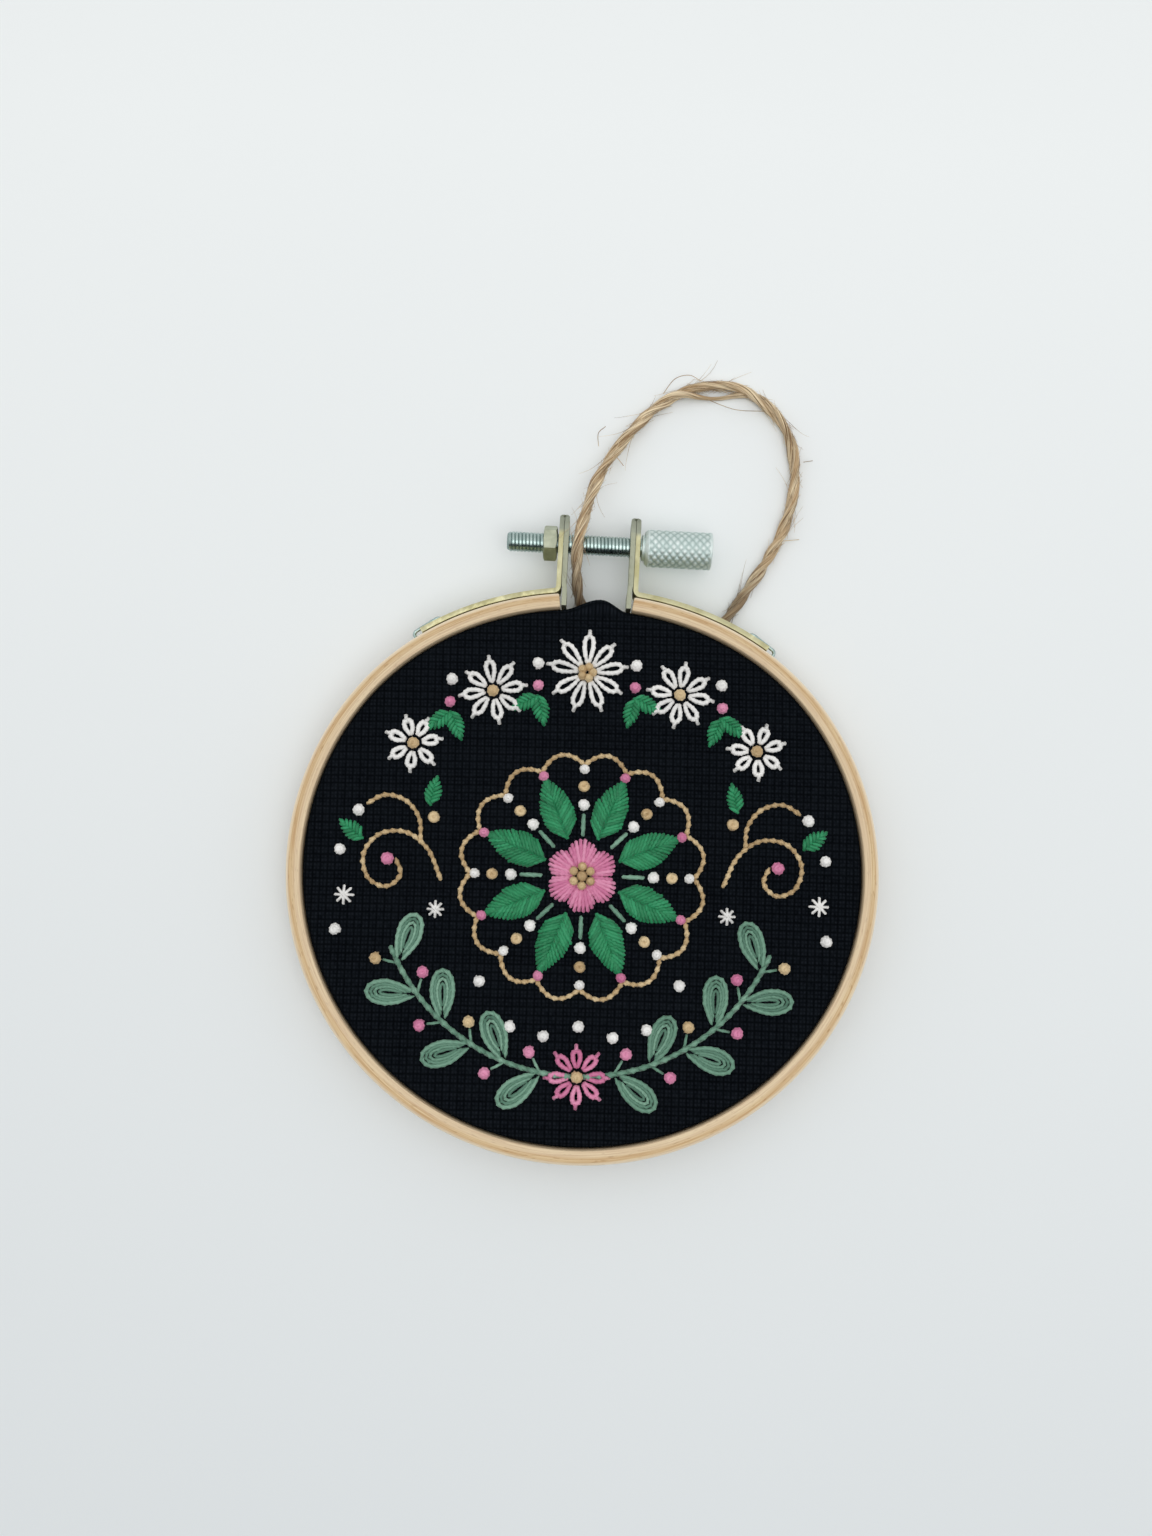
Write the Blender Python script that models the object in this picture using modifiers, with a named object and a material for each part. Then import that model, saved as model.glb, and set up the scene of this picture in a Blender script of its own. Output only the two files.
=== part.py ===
"""A 5 inch wooden screw hoop holding stretched dark evenweave cloth, with a twine hanger.

The hoop lies on its back: +Z is the way the cloth faces, +Y points to the split, X runs along
the thumb screw. The origin is under the middle of the hoop and its hardware, on the surface.
"""

import math

import bmesh
import bpy
from mathutils import Matrix, Vector

MM = 0.001

# Driving dimensions, in millimetres. Radii are measured from the middle of the hoop.
OPENING_HALF_WIDTH = 60.9
OPENING_HALF_HEIGHT = 59.15
SPLIT_DIP = 1.5  # the ring is pulled in this far where it is split
DIP_REACH = math.radians(55)  # and the dip has gone this far round from the split
CLEARANCE = 0.3
WALL = 3.2  # both wooden rings
OUTER_RING_BACK = 2.8  # the outer ring is pushed on short of the surface
OUTER_RING_FRONT = 11.3
INNER_RING_FRONT = 9.1
RING_EDGE = 0.7  # rounding of the outer ring's edges
INNER_RING_EDGE = 0.4
SPLIT_HALF_ANGLE = math.radians(7.85)

CLOTH_THICK = 1.0
CLOTH_HEM = 2.95
BUMP_RISE = 2.45  # the cloth stands out this far in the split
BUMP_TOP = 1.1  # where along X it is highest
BUMP_LEFT = 8.6
BUMP_RIGHT = 6.3
BUMP_AT_HEM = 0.45

STRAP_THICK = 1.05
STRAP_WIDTH = 6.6
STRAP_END_ANGLE = math.radians(37.2)
LUG_INNER_FACE = 6.9
PLY_GAP = 0.2  # the lug is the strap folded back on itself
LUG_TIP = 79.1
LUG_CORNER = 2.6
FOOT_END = 58.5
FOOT_LEAN = 0.5

SCREW_AXIS_Y = 72.6
ROD_RADIUS = 2.2
ROD_LEFT_END = -20.7
NUT_FLATS = 7.0
NUT_THICK = 3.0
COLLAR_RADIUS = 2.9
KNOB_LEFT = 10.2
KNOB_RIGHT = 25.2
KNOB_RADIUS = 4.2
KNOB_BEVEL = 0.7
ROD_HOLE_RADIUS = ROD_RADIUS + 0.4

STAPLE_NEAR_ANGLE = math.radians(32.6)
STAPLE_FAR_ANGLE = math.radians(38.8)
STAPLE_WIRE = 0.4  # the wire's radius
STAPLE_DEPTH = 2.2  # how far its legs go into the wood
STAPLE_BEND = 0.9

PLY_RADIUS = 0.80  # the twine is two plies side by side, twisted
PLY_OFFSET = 0.50
TWINE_LAY = 10.0  # one full turn of the twist
TWINE_STEP = 0.85
TWINE_SIDES = 10

RING_STEPS = 84
SCREW_STEPS = 28

SCREW_AXIS_Z = (OUTER_RING_BACK + OUTER_RING_FRONT) / 2
CLOTH_TOP = INNER_RING_FRONT + CLEARANCE + CLOTH_THICK
TWINE_RADIUS = PLY_RADIUS + PLY_OFFSET
LUG_OUTER_FACE = LUG_INNER_FACE + 2 * STRAP_THICK + PLY_GAP
# The row's origin is under the middle of the box from the hoop's foot to the lugs' tips.
HOOP_MIDDLE_Y = (OPENING_HALF_HEIGHT + WALL - LUG_TIP) / 2

PARTS = "Hoop embroidery"
CUTTERS = "Cutters"


def opening_radius(angle):
    """The outer ring's inner wall, at an angle clockwise from the split."""
    oval = 1 / math.hypot(math.sin(angle) / OPENING_HALF_WIDTH, math.cos(angle) / OPENING_HALF_HEIGHT)
    turn = abs(math.remainder(angle, 2 * math.pi))
    if turn > DIP_REACH:
        return oval
    return oval - SPLIT_DIP * (0.5 + 0.5 * math.cos(math.pi * turn / DIP_REACH))


def polar(angle, radius, z=0.0):
    """A point of the hoop, from an angle clockwise from the split, in millimetres."""
    return Vector((radius * math.sin(angle), radius * math.cos(angle) + HOOP_MIDDLE_Y, z))


def beside(angle, out, z=0.0):
    """A point at a distance outside the opening's edge."""
    return polar(angle, opening_radius(angle) + out, z)


def bump_share(x):
    """How far the free cloth in the split stands out, from 0 to 1."""
    reach = (x - BUMP_TOP) / (BUMP_LEFT if x < BUMP_TOP else BUMP_RIGHT)
    return math.cos(math.pi / 2 * reach) ** 2 if abs(reach) < 1 else 0.0


def material(name, color, roughness, metallic=0.0):
    made = bpy.data.materials.new(name)
    made.use_nodes = True
    shader = made.node_tree.nodes["Principled BSDF"]
    shader.inputs["Base Color"].default_value = (*color, 1)
    shader.inputs["Roughness"].default_value = roughness
    shader.inputs["Metallic"].default_value = metallic
    return made


def add_object(name, data, collection, surface=None):
    made = bpy.data.objects.new(name, data)
    if surface:
        data.materials.append(surface)
    bpy.data.collections[collection].objects.link(made)
    return made


def object_from_bmesh(name, bm, collection, surface=None, smooth_angle=35):
    """Makes the object from millimetre points, with its faces pointing out."""
    bmesh.ops.scale(bm, vec=(MM, MM, MM), verts=bm.verts)
    bmesh.ops.recalc_face_normals(bm, faces=bm.faces)
    mesh = bpy.data.meshes.new(name)
    bm.to_mesh(mesh)
    bm.free()
    mesh.shade_smooth()
    mesh.set_sharp_from_angle(angle=math.radians(smooth_angle))
    return add_object(name, mesh, collection, surface)


def cut(target, *cutters):
    for cutter in cutters:
        modifier = target.modifiers.new("cut " + cutter.name, "BOOLEAN")
        modifier.operation = "DIFFERENCE"
        modifier.solver = "EXACT"
        modifier.object = cutter


def cylinder_cutter(name, start, end, radius, sides):
    """A cutter between two points given in millimetres."""
    bm = bmesh.new()
    length = (end - start).length
    bmesh.ops.create_cone(
        bm, cap_ends=True, segments=sides, radius1=radius, radius2=radius, depth=length
    )
    turn = (end - start).to_track_quat("Z", "X").to_matrix().to_4x4()
    bmesh.ops.transform(bm, matrix=Matrix.Translation((start + end) / 2) @ turn, verts=bm.verts)
    made = object_from_bmesh(name, bm, CUTTERS)
    made.hide_render = True
    made.display_type = "WIRE"
    return made


def rounded_section(inner, outer, back, front, edge, corner_steps=2):
    """A ring's section as (radius out from the opening, height), with rounded corners."""
    middles = [
        (outer - edge, front - edge, 90),
        (outer - edge, back + edge, 0),
        (inner + edge, back + edge, -90),
        (inner + edge, front - edge, -180),
    ]
    section = []
    for out, z, begin in middles:
        for step in range(corner_steps + 1):
            turn = math.radians(begin - 90 * step / corner_steps)
            section.append((out + edge * math.cos(turn), z + edge * math.sin(turn)))
    return section


def ring(name, section, start, end, surface):
    """Sweeps a section round the hoop between two angles, or all the way."""
    bm = bmesh.new()
    closed = end - start >= 2 * math.pi
    loops = []
    for step in range(RING_STEPS if closed else RING_STEPS + 1):
        angle = start + (end - start) * step / RING_STEPS
        loops.append([bm.verts.new(beside(angle, out, z)) for out, z in section])
    count = len(section)
    for k in range(RING_STEPS):
        first, second = loops[k], loops[(k + 1) % len(loops)]
        for i in range(count):
            j = (i + 1) % count
            bm.faces.new((first[i], first[j], second[j], second[i]))
    if not closed:
        bm.faces.new(loops[0])
        bm.faces.new(reversed(loops[-1]))
    return object_from_bmesh(name, bm, PARTS, surface)


def cloth(surface):
    """One stretched sheet: the face, the turn over the inner ring's edge and the skirt."""
    outside = -CLEARANCE - CLOTH_THICK / 2  # the sheet's middle, from the opening's edge
    middle_z = CLOTH_TOP - CLOTH_THICK / 2
    turn_radius = 0.7
    turned = [
        (outside - turn_radius * (1 - math.sin(t)), middle_z - turn_radius * (1 - math.cos(t)))
        for t in (0, math.pi / 4, math.pi / 2)
    ]
    skirt = [(outside, z) for z in (7.2, 5.0, CLOTH_HEM)]
    bm = bmesh.new()
    rows = []
    for share in (0.35, 0.7, 0.93):
        rows.append([(share, None, middle_z)] * RING_STEPS)
    for out, z in turned + skirt:
        rows.append([(None, out, z)] * RING_STEPS)
    loops = []
    for row in rows:
        loop = []
        for step, (share, out, z) in enumerate(row):
            angle = 2 * math.pi * step / RING_STEPS
            if share is not None:
                point = polar(angle, share * opening_radius(angle), z)
            else:
                point = beside(angle, out, z)
                drop = (middle_z - z) / (middle_z - CLOTH_HEM)
                rise = BUMP_RISE * (1 - (1 - BUMP_AT_HEM) * drop)
                if math.cos(angle) > 0:
                    point.y += rise * bump_share(point.x)
            loop.append(bm.verts.new(point))
        loops.append(loop)
    centre = bm.verts.new(polar(0, 0, middle_z))
    for i in range(RING_STEPS):
        j = (i + 1) % RING_STEPS
        bm.faces.new((centre, loops[0][i], loops[0][j]))
        for inner, outer in zip(loops, loops[1:]):
            bm.faces.new((inner[i], outer[i], outer[j], inner[j]))
    made = object_from_bmesh("cloth", bm, PARTS, surface)
    solid = made.modifiers.new("thickness", "SOLIDIFY")
    solid.thickness = CLOTH_THICK * MM
    solid.offset = 0
    solid.use_even_offset = True
    return made


def arc(middle_x, middle_y, radius, begin, end, steps):
    """Points of an arc, with angles in degrees anticlockwise from +X."""
    points = []
    for step in range(steps + 1):
        turn = math.radians(begin + (end - begin) * step / steps)
        points.append((middle_x + radius * math.cos(turn), middle_y + radius * math.sin(turn)))
    return points


def bracket_path():
    """The strap's middle line: foot, inner ply, fold, outer ply, bend and the run round the ring."""
    inner_ply = LUG_INNER_FACE + STRAP_THICK / 2
    fold = (STRAP_THICK + PLY_GAP) / 2
    fold_y = LUG_TIP - STRAP_THICK / 2 - fold
    strap_out = WALL + CLEARANCE + STRAP_THICK / 2
    bend = 1.1
    outer_ply = inner_ply + 2 * fold
    bend_x = outer_ply + bend
    bend_angle = math.asin(bend_x / (opening_radius(0.16) + strap_out))
    bend_y = (opening_radius(bend_angle) + strap_out) * math.cos(bend_angle) + bend
    points = [
        (inner_ply - FOOT_LEAN, FOOT_END),
        (inner_ply - FOOT_LEAN, 61.2),
        (inner_ply, 63.0),
        (inner_ply, SCREW_AXIS_Y),
    ]
    points += arc(inner_ply + fold, fold_y, fold, 180, 0, 6)
    points += [(outer_ply, SCREW_AXIS_Y)]
    points += arc(bend_x, bend_y, bend, 180, 270 - math.degrees(bend_angle), 4)
    first = math.asin((bend_x + 1.2) / (opening_radius(bend_angle) + strap_out))
    steps = 9
    for step in range(steps + 1):
        angle = first + (STRAP_END_ANGLE - first) * step / steps
        radius = opening_radius(angle) + strap_out
        points.append((radius * math.sin(angle), radius * math.cos(angle)))
    return points


def strap_half_width(y):
    """Half the strap's width, drawn in round the lug's tip."""
    into = y - (LUG_TIP - STRAP_THICK / 2 - LUG_CORNER)
    if into <= 0:
        return STRAP_WIDTH / 2
    into = min(into, LUG_CORNER)
    return STRAP_WIDTH / 2 - LUG_CORNER + math.sqrt(LUG_CORNER**2 - into**2)


def lug_points(points):
    """Adds points up both plies, so that the tip's rounding has something to bend."""
    fine = []
    for (x0, y0), (x1, y1) in zip(points, points[1:]):
        straight = abs(x1 - x0) < 1e-6 and max(y0, y1) > SCREW_AXIS_Y + 1
        count = 5 if straight else 1
        fine += [(x0 + (x1 - x0) * k / count, y0 + (y1 - y0) * k / count) for k in range(count)]
    return fine + [points[-1]]


def bracket(name, side, surface):
    """A strap along the ring with a folded lug at the split; side is +1 on the knob's side."""
    bm = bmesh.new()
    rows = []
    for x, y in lug_points(bracket_path()):
        half = strap_half_width(y)
        rows.append(
            [
                bm.verts.new((side * x, y + HOOP_MIDDLE_Y, SCREW_AXIS_Z + z))
                for z in (-half, 0, half)
            ]
        )
    for first, second in zip(rows, rows[1:]):
        for i in range(2):
            bm.faces.new((first[i], first[i + 1], second[i + 1], second[i]))
    made = object_from_bmesh(name, bm, PARTS, surface)
    solid = made.modifiers.new("thickness", "SOLIDIFY")
    solid.thickness = STRAP_THICK * MM
    solid.offset = 0
    solid.use_even_offset = True
    return made


def staple(name, side, surface):
    """A zinc wire staple over the strap's end, with both legs in the wood."""
    middle = side * (STAPLE_NEAR_ANGLE + STAPLE_FAR_ANGLE) / 2
    outward = polar(middle, 1) - polar(middle, 0)
    along = polar(middle + math.pi / 2, 1) - polar(middle + math.pi / 2, 0)
    crown_out = WALL + CLEARANCE + STRAP_THICK + CLEARANCE + STAPLE_WIRE
    crown = beside(middle, crown_out, SCREW_AXIS_Z)
    half = crown_out + opening_radius(middle)
    half *= math.sin((STAPLE_FAR_ANGLE - STAPLE_NEAR_ANGLE) / 2)
    leg = crown_out - WALL + STAPLE_DEPTH
    corner = half - STAPLE_BEND
    outline = [(-half, -leg)] + arc(-corner, -STAPLE_BEND, STAPLE_BEND, 180, 90, 3)
    outline += arc(corner, -STAPLE_BEND, STAPLE_BEND, 90, 0, 3) + [(half, -leg)]
    curve = bpy.data.curves.new(name, "CURVE")
    curve.dimensions = "3D"
    curve.bevel_depth = STAPLE_WIRE * MM
    curve.bevel_resolution = 1
    curve.use_fill_caps = True
    spline = curve.splines.new("POLY")
    spline.points.add(len(outline) - 1)
    for point, (u, v) in zip(spline.points, outline):
        point.co = (*((crown + along * u + outward * v) * MM), 1)
    made = add_object(name, curve, PARTS, surface)
    holes = []
    for where, u in (("a", -half), ("b", half)):
        deep = crown + along * u - outward * (leg + CLEARANCE)
        high = crown + along * u + outward * 1.5
        holes.append(
            cylinder_cutter(f"{name}_hole_{where}", deep, high, STAPLE_WIRE + CLEARANCE, 10)
        )
    return made, holes


def turned_on_screw_axis(name, profile, surface):
    """Turns a profile of (X, radius) points, left to right, about the thumb screw's axis."""
    mesh = bpy.data.meshes.new(name)
    points = [(radius * MM, 0, -x * MM) for x, radius in profile]
    mesh.from_pydata(points, [(i, i + 1) for i in range(len(points) - 1)], [])
    made = add_object(name, mesh, PARTS, surface)
    made.rotation_euler = (0, math.radians(-90), 0)
    made.location = (0, (SCREW_AXIS_Y + HOOP_MIDDLE_Y) * MM, SCREW_AXIS_Z * MM)
    spin = made.modifiers.new("turning", "SCREW")
    spin.steps = SCREW_STEPS
    spin.render_steps = SCREW_STEPS
    spin.use_merge_vertices = True
    spin.merge_threshold = 0.00001
    spin.use_normal_calculate = True
    return made


def thumb_screw(surface):
    collar = LUG_OUTER_FACE + CLEARANCE
    profile = [
        (ROD_LEFT_END, 0),
        (ROD_LEFT_END, ROD_RADIUS - 0.4),
        (ROD_LEFT_END + 0.4, ROD_RADIUS),
        (collar, ROD_RADIUS),
        (collar, COLLAR_RADIUS),
        (KNOB_LEFT, COLLAR_RADIUS),
        (KNOB_LEFT, KNOB_RADIUS - KNOB_BEVEL),
        (KNOB_LEFT + KNOB_BEVEL, KNOB_RADIUS),
        (KNOB_RIGHT - KNOB_BEVEL / 2, KNOB_RADIUS),
        (KNOB_RIGHT, KNOB_RADIUS - KNOB_BEVEL / 2),
        (KNOB_RIGHT, 0),
    ]
    return turned_on_screw_axis("thumb_screw", profile, surface)


def nut(surface, rod_hole):
    bm = bmesh.new()
    corner = NUT_FLATS / math.sqrt(3)
    bmesh.ops.create_cone(
        bm, cap_ends=True, segments=6, radius1=corner, radius2=corner, depth=NUT_THICK
    )
    centre = (
        -LUG_OUTER_FACE - CLEARANCE - NUT_THICK / 2,
        SCREW_AXIS_Y + HOOP_MIDDLE_Y,
        SCREW_AXIS_Z,
    )
    turn = Matrix.Rotation(math.radians(90), 4, "Y")
    bmesh.ops.transform(bm, matrix=Matrix.Translation(centre) @ turn, verts=bm.verts)
    made = object_from_bmesh("screw_nut", bm, PARTS, surface)
    cut(made, rod_hole)
    return made


def twine_route():
    """The hanger's middle line, in millimetres from the middle of the hoop, by hand."""
    floor = TWINE_RADIUS + 0.05
    under = 0.55  # the hidden run lies this far outside the opening's edge
    hidden_start = [
        beside(math.radians(a), under, floor) - Vector((0, HOOP_MIDDLE_Y, 0)) for a in (10, 6, 2)
    ]
    seen = [
        (-1.6, 58.8, 1.6),
        (-3.5, 60.0, 3.2),
        (-4.4, 62.8, 5.9),
        (-4.8, 67.0, 9.0),
        (-4.7, 72.4, 11.2),
        (-3.6, 78.4, 9.6),
        (-1.6, 87.4, 5.6),
        (1.8, 95.1, 3.2),
        (6.8, 102.5, 2.0),
        (12.1, 108.3, 1.5),
        (19.0, 112.4, floor),
        (26.6, 113.8, floor),
        (33.0, 112.4, floor),
        (38.8, 108.2, floor),
        (42.6, 102.6, floor),
        (44.3, 95.0, floor),
        (44.1, 88.5, floor),
        (42.3, 80.8, floor),
        (38.9, 73.3, floor),
        (35.2, 67.0, floor),
        (31.4, 60.9, floor),
        (28.6, 57.0, floor),
    ]
    hidden_end = [
        beside(math.radians(a), under + more, floor) - Vector((0, HOOP_MIDDLE_Y, 0))
        for a, more in ((24.5, 0.7), (20.5, 0.1), (16, 0), (12, 0))
    ]
    return hidden_start + [Vector(p) for p in seen] + hidden_end


def smooth_path(points, step):
    """A Catmull-Rom curve through the points, read at even steps."""
    ends = [2 * points[0] - points[1]] + points + [2 * points[-1] - points[-2]]
    fine = []
    for a, b, c, d in zip(ends, ends[1:], ends[2:], ends[3:]):
        for k in range(24):
            t = k / 24
            fine.append(
                0.5 * (2 * b + (c - a) * t + (2 * a - 5 * b + 4 * c - d) * t**2)
                + 0.5 * (3 * b - a - 3 * c + d) * t**3
            )
    fine.append(points[-1])
    lengths = [0.0]
    for first, second in zip(fine, fine[1:]):
        lengths.append(lengths[-1] + (second - first).length)
    count = round(lengths[-1] / step)
    even, k = [], 0
    for i in range(count + 1):
        target = lengths[-1] * i / count
        while k < len(fine) - 2 and lengths[k + 1] < target:
            k += 1
        share = (target - lengths[k]) / (lengths[k + 1] - lengths[k])
        even.append(fine[k].lerp(fine[k + 1], share))
    return even


def ply_outline(turn):
    """The outline of two plies lying together, at an angle from the line through them."""
    across = PLY_OFFSET * math.sin(turn)
    return PLY_OFFSET * abs(math.cos(turn)) + math.sqrt(PLY_RADIUS**2 - across**2)


def twine(surface):
    """A two-ply twisted cord as one solid, lofted along its route."""
    route = [p + Vector((0, HOOP_MIDDLE_Y, 0)) for p in twine_route()]
    path = smooth_path(route, TWINE_STEP)
    bm = bmesh.new()
    loops = []
    side = Vector((0, 0, 1))
    for i, point in enumerate(path):
        ahead = (path[min(i + 1, len(path) - 1)] - path[max(i - 1, 0)]).normalized()
        side = (side - ahead * side.dot(ahead)).normalized()
        other = ahead.cross(side)
        twist = 2 * math.pi * i * TWINE_STEP / TWINE_LAY
        loop = []
        for k in range(TWINE_SIDES):
            around = 2 * math.pi * k / TWINE_SIDES
            radius = ply_outline(around)
            turn = around + twist
            loop.append(
                bm.verts.new(point + (side * math.cos(turn) + other * math.sin(turn)) * radius)
            )
        loops.append(loop)
    for first, second in zip(loops, loops[1:]):
        for k in range(TWINE_SIDES):
            j = (k + 1) % TWINE_SIDES
            bm.faces.new((first[k], first[j], second[j], second[k]))
    bm.faces.new(loops[0])
    bm.faces.new(reversed(loops[-1]))
    return object_from_bmesh("twine", bm, PARTS, surface, smooth_angle=80)


def main():
    for old in list(bpy.data.objects):
        bpy.data.objects.remove(old, do_unlink=True)
    for name in (PARTS, CUTTERS):
        bpy.context.scene.collection.children.link(bpy.data.collections.new(name))

    wood = material("pale bent wood", (0.62, 0.45, 0.27), 0.55)
    dark_cloth = material("black evenweave cotton", (0.006, 0.008, 0.014), 0.95)
    yellow_zinc = material("yellow zinc plate", (0.70, 0.62, 0.30), 0.32, 1.0)
    zinc = material("bright zinc plate", (0.55, 0.62, 0.60), 0.35, 1.0)
    jute = material("natural jute", (0.45, 0.32, 0.19), 0.9)

    outer = rounded_section(0, WALL, OUTER_RING_BACK, OUTER_RING_FRONT, RING_EDGE)
    outer_ring = ring("outer_ring", outer, SPLIT_HALF_ANGLE, 2 * math.pi - SPLIT_HALF_ANGLE, wood)
    inner_out = -2 * CLEARANCE - CLOTH_THICK
    inner = rounded_section(
        inner_out - WALL, inner_out, 0, INNER_RING_FRONT, INNER_RING_EDGE, corner_steps=1
    )
    ring("inner_ring", inner, 0, 2 * math.pi, wood)
    cloth(dark_cloth)

    axis_y = SCREW_AXIS_Y + HOOP_MIDDLE_Y
    rod_hole = cylinder_cutter(
        "rod_hole",
        Vector((-16, axis_y, SCREW_AXIS_Z)),
        Vector((16, axis_y, SCREW_AXIS_Z)),
        ROD_HOLE_RADIUS,
        SCREW_STEPS,
    )
    for name, side in (("left", -1), ("right", 1)):
        strap = bracket(f"bracket_{name}", side, yellow_zinc)
        _, holes = staple(f"staple_{name}", side, zinc)
        cut(strap, rod_hole, *holes)
        cut(outer_ring, *holes)
    nut(zinc, rod_hole)
    thumb_screw(zinc)
    twine(jute)


main()
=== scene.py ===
import math
import random

import bmesh
import bpy
from mathutils import Matrix, Vector


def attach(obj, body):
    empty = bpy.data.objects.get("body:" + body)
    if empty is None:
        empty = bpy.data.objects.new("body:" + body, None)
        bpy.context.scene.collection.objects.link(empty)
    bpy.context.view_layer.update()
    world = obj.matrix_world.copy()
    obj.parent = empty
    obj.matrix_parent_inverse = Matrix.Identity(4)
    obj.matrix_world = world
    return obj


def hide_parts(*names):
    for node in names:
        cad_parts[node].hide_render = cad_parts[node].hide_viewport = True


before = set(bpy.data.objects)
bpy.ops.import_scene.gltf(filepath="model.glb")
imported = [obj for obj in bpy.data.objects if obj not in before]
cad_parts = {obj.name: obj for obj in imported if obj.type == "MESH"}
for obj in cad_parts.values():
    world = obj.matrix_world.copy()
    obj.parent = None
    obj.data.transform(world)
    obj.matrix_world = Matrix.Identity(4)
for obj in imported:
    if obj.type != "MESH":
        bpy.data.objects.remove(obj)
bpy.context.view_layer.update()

mm = 0.001

# The hoop's own measures in millimetres, as the solids have them.
hoop = {
    "halfWidth": 60.9,
    "halfHeight": 59.15,
    "splitDip": 1.5,  # the ring is pulled in this far at the split
    "dipReach": 55,  # and is round again this many degrees from it
    "middleY": -8.375,
    "wall": 3.2,
    "outerBack": 2.8,  # the outer ring is pushed on short of the surface
    "outerFront": 11.3,
    "innerFront": 9.1,
    "clearance": 0.3,
    "clothRoom": 1.0,  # what the solids leave for the cloth between the rings
    "splitHalf": 7.85,  # degrees
    "screwY": 72.6,
    "screwZ": 7.05,
    "clothTop": 10.4,
    "weaveTurn": 1.6,  # degrees that the cloth sits turned in the hoop
}


def openingRadius(angle):
    across = math.sin(angle) / hoop["halfWidth"]
    along = math.cos(angle) / hoop["halfHeight"]
    oval = 1 / math.hypot(across, along)
    turn = abs(math.remainder(angle, 2 * math.pi))
    reach = math.radians(hoop["dipReach"])
    if turn > reach:
        return oval
    return oval - hoop["splitDip"] * (0.5 + 0.5 * math.cos(math.pi * turn / reach))


def hoopPoint(angle, out, z):
    # angles run clockwise from the split, and out is measured from the opening's edge
    radius = openingRadius(angle) + out
    return Vector((radius * math.sin(angle), radius * math.cos(angle) + hoop["middleY"], z))


def hexColor(code):
    # sRGB hex to linear, with alpha
    parts = []
    for start in (0, 2, 4):
        value = int(code[start:start + 2], 16) / 255
        parts.append(value / 12.92 if value <= 0.04045 else ((value + 0.055) / 1.055) ** 2.4)
    return (*parts, 1.0)


def addNode(tree, kind, settings=None, inputs=None, out=None):
    # hands back the node, or the one output of it that out names
    node = tree.nodes.new(kind)
    for name, value in (settings or {}).items():
        setattr(node, name, value)
    for name, value in (inputs or {}).items():
        if isinstance(value, bpy.types.NodeSocket):
            tree.links.new(value, node.inputs[name])
        else:
            node.inputs[name].default_value = value
    return node if out is None else node.outputs[out]


colorMix = {"data_type": "RGBA"}  # of a Mix node: 0 is the share, 6 and 7 the colours, 2 the result


def startMaterial(name, fixed):
    # fixed holds what is the same all over, set on the shader's own sockets
    made = bpy.data.materials.new(name)
    made.use_nodes = True
    shader = made.node_tree.nodes["Principled BSDF"]
    for socket, value in fixed.items():
        shader.inputs[socket].default_value = value
    return made, made.node_tree, shader


def addPiece(name, mesh, material=None, smooth=None):
    if material is not None:
        mesh.materials.append(material)
    made = bpy.data.objects.new(name, mesh)
    bpy.context.scene.collection.objects.link(made)
    if smooth is not None:
        mesh.shade_smooth()
        mesh.set_sharp_from_angle(angle=math.radians(smooth))
    return made


def meshFromPoints(name, points, faces):
    mesh = bpy.data.meshes.new(name)
    mesh.from_pydata([Vector(p) * mm for p in points], [], faces)
    mesh.update()
    return mesh


def joinRings(first, second):
    # the faces between two closed rows of points
    count = len(first)
    return [(first[k], first[(k + 1) % count], second[(k + 1) % count], second[k])
            for k in range(count)]


def gridFaces(rows, across):
    # the faces of a sheet whose rows have across + 1 points
    return [(a, a + 1, a + across + 2, a + across + 1)
            for row in range(rows - 1) for a in range(row * (across + 1), row * (across + 1) + across)]


def tidyMesh(mesh, merge=1e-6):
    # doubles merged and every face turned outwards
    bm = bmesh.new()
    bm.from_mesh(mesh)
    bmesh.ops.remove_doubles(bm, verts=bm.verts, dist=merge)
    bmesh.ops.dissolve_degenerate(bm, edges=bm.edges, dist=merge)
    bmesh.ops.recalc_face_normals(bm, faces=bm.faces)
    bm.to_mesh(mesh)
    bm.free()


def applied(made):
    # the evaluated shape as a plain mesh
    bpy.context.view_layer.update()
    graph = bpy.context.evaluated_depsgraph_get()
    mesh = bpy.data.meshes.new_from_object(made.evaluated_get(graph))
    made.modifiers.clear()
    made.data = mesh
    return made


def onHoop(made, slot, *nodes):
    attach(made, "hoop")
    if nodes:
        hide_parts(*nodes)


print("stage: floor, light and camera")

studio = {
    "floor": "f5f9f9",
    "floorPaintedShade": "dadfe1",  # painted shade: the board's colour is darkened towards -y, standing in for the light falling off
    "air": "f4f4f4",
    "airLow": "20252b",  # the dim side of the room, below the picture
    "airStrength": 0.88,
    "keyWatts": 1.75,
    "keyPlace": (0.12, -0.22, 0.75),
    "keySize": 0.6,
    "fillWatts": 0.5,
    "fillPlace": (-0.35, 0.25, 0.80),
    "fillSize": 0.9,
}


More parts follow.
